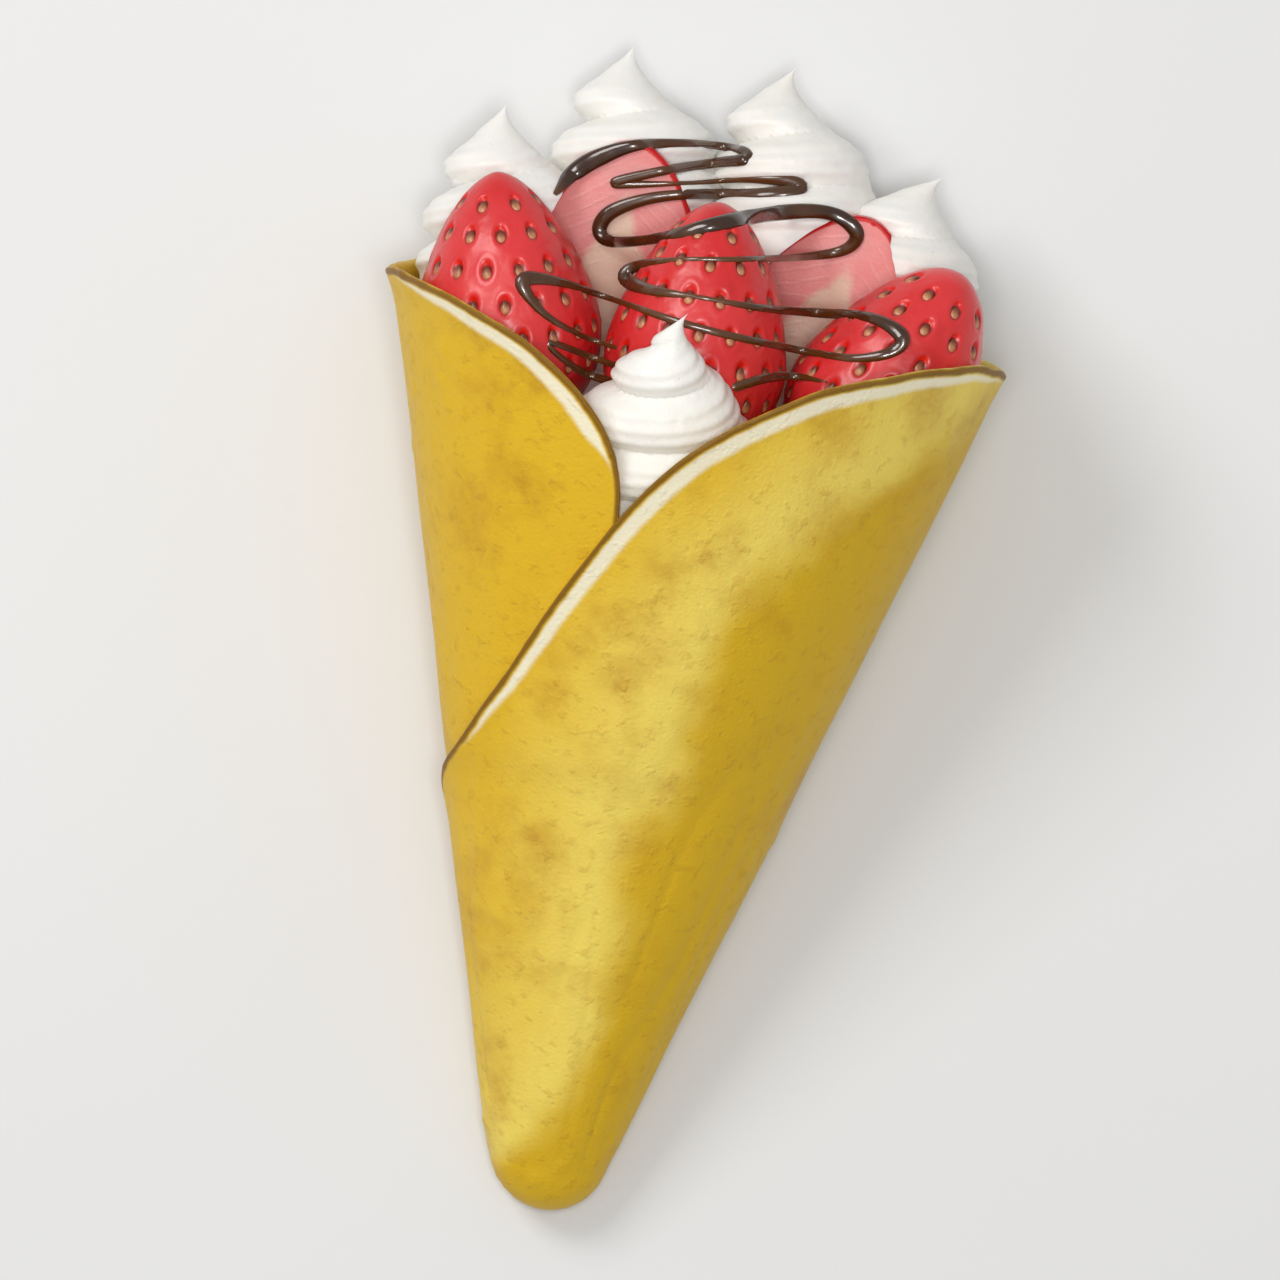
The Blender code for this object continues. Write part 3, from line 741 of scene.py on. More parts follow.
def sheetLift(turn, length, top):
    over = crepe["overCore"]
    over += (crepe["overSheet"] - crepe["overCore"]) * ease(length, *crepe["sheetLengths"])
    lift = over * ease(turn, *crepe["overlapTurns"]) * ease(length, *crepe["overlapLengths"])
    # Soft dents, and creases that fan out from the tip
    spot = Vector(conePoint(turn, length, 0))
    lift += crepe["dents"] * noise.noise(spot / crepe["dentSize"]) * ease(length, *crepe["dentLengths"])
    angle, spread = radians(turn), crepe["creaseSpread"]
    fan = Vector((spread * cos(angle), spread * sin(angle), length / crepe["creaseRun"] + 5))
    crease = (1 - min(abs(noise.noise(fan)) * crepe["creaseSharpness"], 1)) ** 2
    fade = 1 - crepe["creaseFade"] * ease(length, *crepe["creaseFadeLengths"])
    lift -= crepe["creases"] * crease * ease(length, *crepe["creaseLengths"]) * fade
    # The lip of each flap turns out a little
    lip = max(0.0, 1 - (top - length) / crepe["lipWidth"])
    shown = ease(turn, *crepe["lipStart"]) * (1 - crepe["lipAtBack"] * ease(turn, *crepe["lipSide"]))
    shown *= 1 - ease(turn, *crepe["lipEnd"])
    if crepe["backTurns"][0] < turn < crepe["backTurns"][1]:
        shown *= crepe["lipAtBack"]
    return lift + crepe["lipLift"] * lip ** 2 * shown


def makeCrepe():
    columns, outerRows, innerRows, edgeRows = (
        crepe[name] for name in ("columns", "outerRows", "innerRows", "edgeRows")
    )
    half = crepe["thickness"] / 2
    points, turns = [], []
    for k in range(columns + 1):
        turn = crepe["start"] + (crepe["end"] - crepe["start"]) * (k / columns) ** crepe["crowding"]
        top = wavyTop(turn)
        foot = crepe["hiddenFoot"]
        foot += (crepe["tip"] - crepe["hiddenFoot"]) * ease(turn, *crepe["footTurns"])
        column = []
        for row in range(outerRows + 1):
            rest = (1 - (row / outerRows) ** crepe["footCrowding"]) ** crepe["topCrowding"]
            length = foot + (top - foot) * (1 - rest)
            column.append((length, sheetLift(turn, length, top)))
        lift = sheetLift(turn, top, top) - half
        for row in range(1, edgeRows):
            bend = pi * row / edgeRows
            column.append((top + half * sin(bend), lift + half * cos(bend)))
        for row in range(innerRows + 1):
            length = top + (foot - top) * (row / innerRows) ** crepe["innerCrowding"]
            column.append((length, sheetLift(turn, length, top) - crepe["thickness"]))
        points += [conePoint(turn, length, lift) for length, lift in column]
        turns += [turn] * len(column)
    size = outerRows + edgeRows + innerRows + 1
    faces = []
    for k in range(columns):
        for row in range(size):
            after = (row + 1) % size
            faces.append((k * size + row, k * size + after, (k + 1) * size + after, (k + 1) * size + row))
    # The two ends of the sheet are closed between its outer and its inner side
    for first in (0, columns * size):
        faces.append(tuple(range(first, first + size)))
    sheet = meshObject("crepeWrap", [place(*point) for point in points], faces)
    # How far each point lies from the edge of its own flap, and how wide the painted highlight along the
    # rim is there
    trails = ([], [])
    for k in range(columns):
        start, end = (Vector(points[(k + i) * size + outerRows]) for i in (0, 1))
        turn, after = turns[k * size], turns[(k + 1) * size]
        pieces = ceil((end - start).length / crepe["edgeStep"])
        for i in range(pieces):
            share = i / pieces
            spot = start.lerp(end, share)
            trails[turn > crepe["midTurn"]].append((spot, turn + (after - turn) * share))
    for row in range(outerRows):
        corner = Vector(points[columns * size + row])
        if corner.y > crepe["edgeFoot"]:
            trails[1].append((corner, crepe["end"]))
    finders = [finderOf([spot for spot, _ in trail]) for trail in trails]
    fromEdge, widths = [], []
    for point, turn in zip(points, turns):
        late = turn > crepe["midTurn"]
        _, k, far = finders[late].find(Vector(point))
        fromEdge.append(far)
        widths.append(bandWidth(trails[late][k][1]))
    setValues(sheet, "fromEdge", fromEdge)
    setValues(sheet, "bandWidth", widths)
    # How far each point lies past the edge of the painted shade, for the painted highlight and shade
    setValues(sheet, "pastLight", [x - followStations(crepe["paintedShadeFrom"], y) for x, y, _ in points])
    bm = bmesh.new()
    bm.from_mesh(sheet.data)
    ends = [face for face in bm.faces if len(face.verts) > 4]
    bmesh.ops.triangulate(bm, faces=ends)
    bmesh.ops.recalc_face_normals(bm, faces=bm.faces)
    bm.to_mesh(sheet.data)
    bm.free()
    return sheet


def bandWidth(turn):
    if turn < crepe["backTurns"][0]:
        fade = ease(turn, *crepe["leftBandEnd"]) * ease(turn, *crepe["leftBandStart"])
        return crepe["leftBand"] * fade
    if turn > crepe["rightBandFrom"]:
        share = min((turn - crepe["rightBandFrom"]) / crepe["rightBandSpan"], 1)
        return crepe["rightBand"] * sin(pi * share) ** crepe["rightBandPower"]
    return crepe["backBand"]


def makeBlisterTree():
    tree, given, result = newGroup(
        "crepeBlisters", "GeometryNodeTree",
        [("Geometry", "Geometry", None), ("Blister Size", "Float", 6.0), ("Blister Height", "Float", 0.3),
         ("Blister Width", "Float", 0.42), ("Pimple Size", "Float", 2.4), ("Pimple Height", "Float", 0.12),
         ("Pimple Width", "Float", 0.5), ("Cluster Scale", "Float", 45.0),
         ("Clear Height", "Float", 0.004), ("Seed", "Float", 0.0), ("Material", "Material", None)],
        [("Geometry", "Geometry")],
    )
    spot = addNode(tree, "GeometryNodeInputPosition").outputs[0]
    moved = calcVector(tree, "ADD", spot, given["Seed"])
    height = None
    for kind in ("Blister", "Pimple"):
        scale = calc(tree, "DIVIDE", 1 / mm, given[kind + " Size"])
        cells = addNode(tree, "ShaderNodeTexVoronoi", {"Vector": moved, "Scale": scale})
        bubble = fallRange(tree, cells.outputs["Distance"], 0.0, given[kind + " Width"])
        cluster = cloudNoise(tree, moved, given["Cluster Scale"], 1.0)
        bubble = times(tree, bubble, smoothRange(tree, cluster, 0.45, 0.62))
        bubble = times(tree, bubble, given[kind + " Height"])
        height = bubble if height is None else calc(tree, "ADD", height, bubble)
    normal = addNode(tree, "GeometryNodeInputNormal").outputs[0]
    # Nothing grows under the cone, where it lies flat
    rise = addNode(tree, "ShaderNodeSeparateXYZ", {0: spot}).outputs["Z"]
    clear = smoothRange(tree, rise, 0.0, given["Clear Height"])
    height = times(tree, times(tree, height, clear), mm)
    offset = calcVector(tree, "SCALE", normal, scale=height)
    raised = addNode(tree, "GeometryNodeSetPosition", {"Geometry": given["Geometry"], "Offset": offset})
    endTree(tree, result, raised.outputs[0], given["Material"])
    return tree


print("crepe")
crepeWrap = makeCrepe()
growWith(crepeWrap, makeBlisterTree(), {"Seed": 0.37, "Material": crepeMaterial})
finishPiece(crepeWrap, [crepeMaterial], ["crepe"])


# Strawberries: tip, stem end, widest radius, bluntness of the tip
berries = {
    "whole": {
        "strawberryLeft": ((-40.1, 208.7, 47), (-29.6, 165.1, 38), 17.0, 0.6),
        "strawberryMiddle": ((0.3, 210.2, 52), (0.9, 165.1, 44), 16.4, 0.56),
        "strawberryRight": ((45.0, 205.1, 48.5), (27.7, 165.0, 39), 16.2, 0.51),
    },
    "halves": {
        "strawberryHalfLeft": ((-16.4, 218.4, 36), (-16.9, 177.0, 21), 16.6, 0.51),
        "strawberryHalfRight": ((28.2, 212.0, 34.5), (15.9, 173.9, 20), 16.4, 0.51),
    },
    "sides": 200,
    "rows": 140,
    "depthPower": 1.8,
    "plainSides": 72,
    "plainRows": 60,
    "cutColumns": 64,
    "shoulder": 0.62,
    "tipPower": 1.36,
    "stemFill": 0.92,
    "stemPower": 2.2,
    "stemFrom": 20,
    "tipGap": 0.05,
    "unevenness": 0.3,
    "seedRows": (4.9, 9.8, 15.7, 21.8, 27.9, 34.0),
    "seedSpacing": 6.0,
    "dimpleWidth": 1.2,
    "dimpleLength": 1.95,
    "dimpleDepth": 0.75,
    "dimpleShift": 0.35,
    "dimpleWall": (0.25, 1.2),
    "dimpleSkin": (0.85, 1.1),
    "dimpleTipSide": (0.1, 0.9),
    "swellHeight": 0.08,
    "swellAt": 1.45,
    "swellWidth": 0.35,
    "smoothTip": (0.5, 4),
    "seedSunk": 0.3,
    "faceSwell": 0.35,
    "faceRounding": 0.35,
    "roundedRim": 0.9,
    "faceLumps": 0.12,
    "coreDent": 0.5,
    "coreWidth": 2.2,
    "coreFrom": (10, 18),
}


def berryFrame(shape):
    tip, stem = Vector(shape[0]), Vector(shape[1])
    axis = (tip - stem).normalized()
    side = axis.cross(up).normalized()
    return tip, stem, (tip - stem).length, axis, side, side.cross(axis).normalized()


def berryRadius(depth, length, radius, bluntness):
    shoulder = berries["shoulder"] * length
    if depth < shoulder:
        return radius * (1 - (1 - depth / shoulder) ** berries["tipPower"]) ** bluntness
    past = (depth - shoulder) / (length - shoulder)
    return radius * sqrt(1 - (berries["stemFill"] * past) ** berries["stemPower"])


def berryPoint(shape, depth, turn, grow=0.0):
    tip, _, length, axis, side, out = berryFrame(shape)
    reach = berryRadius(depth, length, *shape[2:]) + grow
    return tip - axis * depth + (side * cos(turn) + out * sin(turn)) * reach


def seedPlaces(shape):
    places = []
    for row, depth in enumerate(berries["seedRows"]):
        width = (berryPoint(shape, depth, 0) - berryPoint(shape, depth, pi)).length
        count = round(pi * width / berries["seedSpacing"])
        for k in range(count):
            turn = pi / 2 + 2 * pi * (k + 0.5 * ((row + 1) % 2)) / count
            spot = berryPoint(shape, depth, turn)
            along = berryPoint(shape, depth - 0.5, turn) - berryPoint(shape, depth + 0.5, turn)
            along.normalize()
            across = berryPoint(shape, depth, turn + 0.1) - berryPoint(shape, depth, turn - 0.1)
            normal = along.cross(across).normalized()
            if normal.dot(spot - berryPoint(shape, depth, turn + pi)) < 0:
                normal.negate()
            places.append((spot, along, normal))
    return places


def berryDepths(length, rows):
    # Close together at the tip
    return [length * (k / rows) ** berries["depthPower"] for k in range(1, rows + 1)]


def plainBerry(shape, grow):
    tip, stem, length, axis = berryFrame(shape)[:4]
    sides, depths = berries["plainSides"], berryDepths(length, berries["plainRows"])
    turns = [2 * pi * k / sides for k in range(sides)]
    rings = [[berryPoint(shape, depth, turn, grow) for turn in turns] for depth in depths]
    return loftObject("near", rings, tip + axis * grow, stem)


def cutBerryRoom(shape, grow, height):
    # The half berry, and the space straight above its cut face
    tip, stem, length, axis, side, out = berryFrame(shape)
    half = berries["plainSides"] // 2
    turns = [pi * k / half for k in range(half + 1)]
    rings = []
    for depth in berryDepths(length, berries["plainRows"]):
        reach = berryRadius(depth, length, *shape[2:]) + grow
        centre = tip - axis * depth
        ring = [centre + (side * cos(turn) - out * sin(turn)) * reach for turn in turns]
        ring += [centre - side * reach + out * height, centre + side * reach + out * height]
        rings.append(ring)
    return loftObject("near", rings, tip + axis * grow, stem)


def makeBerry(name, shape):
    tip, stem, length, axis, side, out = berryFrame(shape)
    places = seedPlaces(shape)
    finder = finderOf([spot for spot, along, normal in places])
    turns = [2 * pi * k / berries["sides"] for k in range(berries["sides"])]
    rings, litWalls, shadedRings, stemShade = [], [], [], []
    for depth in berryDepths(length, berries["rows"]):
        ring = []
        for turn in turns:
            spot = berryPoint(shape, depth, turn)
            outwards = side * cos(turn) + out * sin(turn)
            near = finder.find(spot)
            seed, along, normal = places[near[1]]
            offset = spot - seed
            lengthwise = offset.dot(along) - berries["dimpleShift"]
            crosswise = offset.dot(along.cross(normal))
            wide, long = crosswise / berries["dimpleWidth"], lengthwise / berries["dimpleLength"]
            oval = sqrt(wide ** 2 + long ** 2)
            sink = 1 - ease(oval, *berries["dimpleWall"])
            swell = exp(-((oval - berries["swellAt"]) / berries["swellWidth"]) ** 2)
            uneven = noise.noise(spot / 11) + 0.4 * noise.noise(spot / 4)
            push = berries["swellHeight"] * swell - berries["dimpleDepth"] * sink
            push += berries["unevenness"] * uneven
            ring.append(spot + outwards * (push * ease(depth, *berries["smoothTip"])))
            # Painted light on the tip-side wall of each dimple, painted shadow over the rest of it round
            # the seed
            inDimple = 1 - ease(oval, *berries["dimpleSkin"])
            tipSide = ease(lengthwise, *berries["dimpleTipSide"])
            litWalls.append(inDimple * tipSide)
            shadedRings.append(inDimple * (1 - tipSide) * 0.8)
            # Painted shade towards the stem end
            stemShade.append(ease(depth, berries["stemFrom"], length))
        rings.append(ring)
    piece = loftObject(name, rings, tip + axis * berries["tipGap"], stem)
    setValues(piece, "dimpleHighlight", litWalls + [0.0, 0.0])
    setValues(piece, "dimpleShadow", shadedRings + [0.0, 0.0])
    setValues(piece, "stemShade", stemShade + [0.0, 1.0])
    return piece, places


def makeHalf(name, shape):
    tip, stem, length, axis, side, out = berryFrame(shape)
    cuts, arcs = berries["cutColumns"], berries["sides"] // 2
    rings, across, along, onFace = [], [], [], []
    for depth in berryDepths(length, berries["rows"]):
        reach = berryRadius(depth, length, *shape[2:])
        centre = tip - axis * depth
        ring = []
        for k in range(cuts + 1):  # over the cut face, from the right to the left
            share = cos(pi * k / cuts)
            spot = centre + side * reach * share
            rim = ease(abs(share) * reach, reach - berries["roundedRim"], reach)
            swell = berries["faceSwell"] * (1 - share ** 2) + berries["faceLumps"] * noise.noise(spot / 5)
            dent = berries["coreDent"] * exp(-(share * reach / berries["coreWidth"]) ** 2)
            dent *= ease(depth, *berries["coreFrom"])
            ring.append(spot + out * (swell - dent - berries["faceRounding"] * rim))
            across.append(share * reach)
            onFace.append(True)
        for k in range(1, arcs):
            turn = pi + pi * k / arcs
            uneven = berries["unevenness"] * noise.noise(centre / 11 + Vector((cos(turn), sin(turn), 0)))
            spot = centre + (side * cos(turn) + out * sin(turn)) * (reach + uneven * abs(sin(turn)))
            ring.append(spot)
            across.append(cos(turn) * reach)
            onFace.append(False)
        along += [depth] * len(ring)
        rings.append(ring)
    piece = loftObject(name, rings, tip + axis * berries["tipGap"], stem)
    outline = finderOf([tip] + [spot for ring in rings for spot in (ring[0], ring[cuts])])
    flat = [point for ring in rings for point in ring] + [tip, stem]
    fromRim = [outline.find(point)[2] for point in flat]
    setValues(piece, "across", across + [0.0, 0.0])
    setValues(piece, "along", along + [0.0, length])
    setValues(piece, "fromRim", fromRim)
    for name in ("dimpleHighlight", "dimpleShadow"):
        setValues(piece, name, [0.0] * len(flat))
    # Painted shade towards the stem end
    stemShade = [ease(depth, berries["stemFrom"], length) for depth in along]
    setValues(piece, "stemShade", stemShade + [0.0, 1.0])
    facing = onFace + [True, False]
    skin = [0 if all(facing[k] for k in face.vertices) else 1 for face in piece.data.polygons]
    piece.data.polygons.foreach_set("material_index", skin)
    return piece


print("strawberries")
made, seedSpots = {}, {}
for name, shape in berries["whole"].items():
    made[name], seedSpots[name] = makeBerry(name, shape)
for name, shape in berries["halves"].items():
    made[name] = makeHalf(name, shape)


# Whipped cream: base, peak, widest radius, flatness, slenderness, first groove, depth shown,
# curl and bow of the peak, where the rim lets go
cream = {
    "swirls": {
        "creamSwirlLeft": (
            (-33.5, 176, 27), (-40.7, 221.6, 27),
            16.6, 1.0, 0.75, 15.5, 28, -1.3, 3.0, 191.5,
        ),
        "creamSwirlMidLeft": (
            (-15.5, 176, 20), (-20.0, 236.0, 18),
            17.0, 1.0, 0.75, 14.8, 28, -3.0, 4.2, 195.0,
        ),
        "creamSwirlMidRight": (
            (14.5, 176, 20), (9.5, 237.2, 18),
            16.4, 1.0, 0.75, 15.0, 28, -1.0, 3.8, 195.0,
        ),
        "creamSwirlRight": (
            (34.0, 176, 26), (39.6, 222.4, 25),
            15.4, 1.0, 0.75, 15.0, 28, 2.2, 2.4, 191.5,
        ),
        "creamSwirlFront": (
            (1.5, 144, 42), (-1.9, 189.5, 73),
            19.5, 0.72, 0.95, 17.2, 48, 2.3, 0.5, 171.0,
        ),
    },
    "inFrontOf": {
        "creamSwirlMidLeft": "creamSwirlLeft",
        "creamSwirlMidRight": "creamSwirlMidLeft",
        "creamSwirlRight": "creamSwirlMidRight",
    },
    "depthPower": 1.3,
    "grooveSoftness": 0.72,
    "tierMiddle": 0.72,
    "tiersFrom": (4.0, 12.0),
    "tiersFade": 4.0,
    "footRounding": 3.0,
    "curlDepth": 8.0,
    "bowDepth": 14.0,
    "lumpScale": 0.13,
    "lumpsFrom": (2.0, 9.0),
    "inset": 2.0,
    "touch": 0.05,
    "fillingFoot": 114.4,
    "fillingTop": 168.0,
    "fillingSlope": 20.0,
    "fillingRings": 24,
    "topRings": (0.85, 0.7, 0.55, 0.4, 0.25, 0.1),
    "roomDepth": 100,
    "roomHeight": 260,
}


def makeSwirlTree():
    tree, given, result = newGroup(
        "creamSwirl", "GeometryNodeTree",
        [("Foot", "Vector", (0, 0, 0)), ("Peak", "Vector", (0, 50, 0)), ("Radius", "Float", 15.0),
         ("Flatness", "Float", 1.0), ("Tiers End", "Float", 28.0), ("Tier Pitch", "Float", 9.5),
         ("Depth Left", "Float", 4.3), ("Depth Right", "Float", 0.7), ("First Groove", "Float", 15.0),
         ("Ridge Count", "Float", 4.0),
         ("Ridge Height", "Float", 0.16), ("Peak Curl", "Float", 1.6), ("Peak Bow", "Float", 1.2),
         ("Proportion", "Float", 0.75), ("Power", "Float", 1.6), ("Lump Height", "Float", 0.45),
         ("Columns", "Int", 150), ("Rows", "Int", 170), ("Seed", "Float", 0.0),
         ("Material", "Material", None)],
        [("Geometry", "Geometry")],
    )

    def work(operation, *values):
        return calc(tree, operation, *values)

    grid = addNode(
        tree, "GeometryNodeMeshGrid",
        {"Size X": 1.0, "Size Y": 1.0, "Vertices X": given["Columns"], "Vertices Y": given["Rows"]},
    )
    spot = addNode(tree, "GeometryNodeInputPosition").outputs[0]
    flat = addNode(tree, "ShaderNodeSeparateXYZ", {0: spot}).outputs
    turn = work("MULTIPLY", work("ADD", flat["X"], 0.5), 2 * pi)
    run = calcVector(tree, "SUBTRACT", given["Peak"], given["Foot"])
    length = calcVector(tree, "LENGTH", run)
    axis = calcVector(tree, "NORMALIZE", run)
    side = calcVector(tree, "NORMALIZE", calcVector(tree, "CROSS_PRODUCT", axis, (0, 0, 1)))
    out = calcVector(tree, "CROSS_PRODUCT", side, axis)
    share = work("ADD", flat["Y"], 0.5)
    depth = work("MULTIPLY", length, work("POWER", share, cream["depthPower"]))
    # It widens from its pointed peak
    fall = work("DIVIDE", depth, work("MULTIPLY", given["Proportion"], given["Radius"]))
    fall = work("EXPONENT", work("MULTIPLY", work("POWER", fall, given["Power"]), -1.0))
    reach = work("MULTIPLY", given["Radius"], work("SUBTRACT", 1.0, fall))
    # The tiers: a rope of cream wound down it
    wound = work("DIVIDE", work("SUBTRACT", depth, given["First Groove"]), given["Tier Pitch"])
    wound = work("SUBTRACT", wound, work("DIVIDE", work("SUBTRACT", turn, pi), 2 * pi))
    place01 = work("FRACT", wound)
    bulge = work("MULTIPLY_ADD", place01, 2.0, -1.0)
    lobe = work("MAXIMUM", work("SUBTRACT", 1.0, work("MULTIPLY", bulge, bulge)), 0.0)
    lobe = work("POWER", lobe, cream["grooveSoftness"])
    shown = smoothRange(tree, depth, *cream["tiersFrom"])
    hidden = smoothRange(tree, work("SUBTRACT", depth, given["Tiers End"]), 0.0, cream["tiersFade"])
    shown = work("MULTIPLY", shown, work("SUBTRACT", 1.0, hidden))
    leftward = work("SQRT", work("MAXIMUM", work("MULTIPLY_ADD", work("COSINE", turn), -0.5, 0.5), 0.0))
    deepening = work("SUBTRACT", given["Depth Left"], given["Depth Right"])
    deep = work("MULTIPLY_ADD", deepening, leftward, given["Depth Right"])
    tier = work("MULTIPLY", deep, work("SUBTRACT", lobe, cream["tierMiddle"]))
    # Fine ridges that the nozzle left along the rope
    ridge = work("COSINE", work("MULTIPLY", work("MULTIPLY", place01, given["Ridge Count"]), 2 * pi))
    tier = work("ADD", tier, work("MULTIPLY", ridge, given["Ridge Height"]))
    reach = work("ADD", reach, work("MULTIPLY", tier, shown))
    # Closed at the foot
    rounding = cream["footRounding"]
    last = work("MULTIPLY", work("ADD", work("SUBTRACT", depth, length), rounding), 1 / rounding)
    last = work("MINIMUM", work("MAXIMUM", last, 0.0), 1.0)
    reach = work("MULTIPLY", reach, work("SQRT", work("SUBTRACT", 1.0, work("MULTIPLY", last, last))))
    # The peak leans over a little
    lean = work("MAXIMUM", work("SUBTRACT", 1.0, work("DIVIDE", depth, cream["curlDepth"])), 0.0)
    lean = work("MULTIPLY", work("SUBTRACT", 1.0, work("MULTIPLY", lean, lean)), given["Peak Curl"])
    bow = work("MULTIPLY", work("MINIMUM", depth, cream["bowDepth"]), pi / cream["bowDepth"])
    bow = work("SINE", bow)
    lean = work("ADD", lean, work("MULTIPLY", bow, given["Peak Bow"]))
    centre = calcVector(tree, "SUBTRACT", given["Peak"], calcVector(tree, "SCALE", axis, scale=depth))
    centre = calcVector(tree, "SUBTRACT", centre, calcVector(tree, "SCALE", side, scale=lean))
    rightward = calcVector(tree, "SCALE", side, scale=work("MULTIPLY", work("COSINE", turn), reach))
    upward = work("MULTIPLY", work("MULTIPLY", work("SINE", turn), reach), given["Flatness"])
    ring = calcVector(tree, "ADD", rightward, calcVector(tree, "SCALE", out, scale=upward))
    shape = calcVector(tree, "ADD", centre, ring)
    # Soft lumps
    lump = cloudNoise(tree, calcVector(tree, "ADD", shape, given["Seed"]), cream["lumpScale"], 2.0)
    lump = work("MULTIPLY", work("SUBTRACT", lump, 0.5), given["Lump Height"])
    lump = work("MULTIPLY", lump, smoothRange(tree, depth, *cream["lumpsFrom"]))
    lump = calcVector(tree, "SCALE", calcVector(tree, "NORMALIZE", ring), scale=lump)
    shape = calcVector(tree, "ADD", shape, lump)
    shape = calcVector(tree, "SCALE", calcVector(tree, "SUBTRACT", shape, tuple(origin)), scale=mm)
    bent = addNode(tree, "GeometryNodeSetPosition", {"Geometry": grid.outputs["Mesh"], "Position": shape})
    closed = addNode(tree, "GeometryNodeMergeByDistance", {"Geometry": bent.outputs[0], "Distance": 1e-6})
    endTree(tree, result, closed.outputs[0], given["Material"])
    return tree


swirlTree = makeSwirlTree()


def makeSwirl(name, shape):
    foot, peak, radius, flatness, slenderness, groove, tiersEnd, curl, bow, _ = shape
    piece = meshObject(name, [(0, 0, 0)], [])
    growWith(piece, swirlTree, {
        "Foot": foot, "Peak": peak, "Radius": radius, "Flatness": flatness,
        "Proportion": slenderness, "First Groove": groove, "Tiers End": float(tiersEnd),
        "Peak Curl": curl, "Peak Bow": bow, "Seed": radius * 3.0, "Material": creamMaterial,
    })
    outward(piece)
    return piece


def roomInside(rim):
    # Length along the cone, and how far the room flares there
    low, high = cream["roomDepth"], cream["roomHeight"]
    stations = ((low, 0), (130, 0), (160, 0), (rim, 0), (rim + 3, 8), (rim + 12, 30), (high, 40))
    rings = [
        [conePoint(angle, length, flare - cream["inset"]) for angle in range(0, 360, 6)]
        for length, flare in stations
    ]
    return loftObject("room", rings, (0, low, 22), (0, high, 50))


def copyOf(piece):
    return addObject("near", piece.data.copy())


def fruitRoom(aboveHalves):
    touch = cream["touch"]
    rooms = [plainBerry(shape, touch) for shape in berries["whole"].values()]
    return rooms + [cutBerryRoom(shape, touch, aboveHalves) for shape in berries["halves"].values()]


def makeFilling():
    foot, last = cream["fillingFoot"], cream["fillingRings"]
    rings = []
    for k in range(last + 1):
        ring = []
        for angle in range(0, 360, 4):
            top = cream["fillingTop"] - cream["fillingSlope"] * sin(radians(angle))
            length = foot + (top - foot) * (k / last)
            ring.append(conePoint(angle, length, -cream["inset"]))
        rings.append(ring)
    middle = (0, cream["fillingTop"], cone["halfDepth"] * cream["fillingTop"])
    for share in cream["topRings"]:  # a lumpy top
        ring = []
        for point in rings[last]:
            spot = Vector(point).lerp(Vector(middle), 1 - share)
            lump = 2.2 * noise.noise(spot / 9) + 1.0 * noise.noise(spot / 4)
            ring.append(spot + Vector((0, lump, 0)))
        rings.append(ring)
    return loftObject("creamFilling", rings, (0, foot, cone["halfDepth"] * foot), middle)


print("cream")
swirls = {name: makeSwirl(name, shape) for name, shape in cream["swirls"].items()}
whole = {name: copyOf(piece) for name, piece in swirls.items()}
for name, piece in swirls.items():
    carve(piece, "INTERSECT", [roomInside(cream["swirls"][name][-1])])
    around = fruitRoom(1.0 if name == "creamSwirlFront" else 15.0)
    if name in cream["inFrontOf"]:
        around.append(copyOf(whole[cream["inFrontOf"][name]]))
    carve(piece, "DIFFERENCE", around)
    made[name] = piece
filling = makeFilling()
carve(filling, "DIFFERENCE", fruitRoom(15.0) + [copyOf(piece) for piece in whole.values()])
made["creamFilling"] = filling
for piece in whole.values():
    bpy.data.objects.remove(piece, do_unlink=True)


def treeOf(piece):
    bm = bmesh.new()
    bm.from_mesh(piece.data)
    bmesh.ops.triangulate(bm, faces=bm.faces)
    tree = BVHTree.FromBMesh(bm)
    bm.free()
    return tree


trees = {name: treeOf(piece) for name, piece in made.items()}


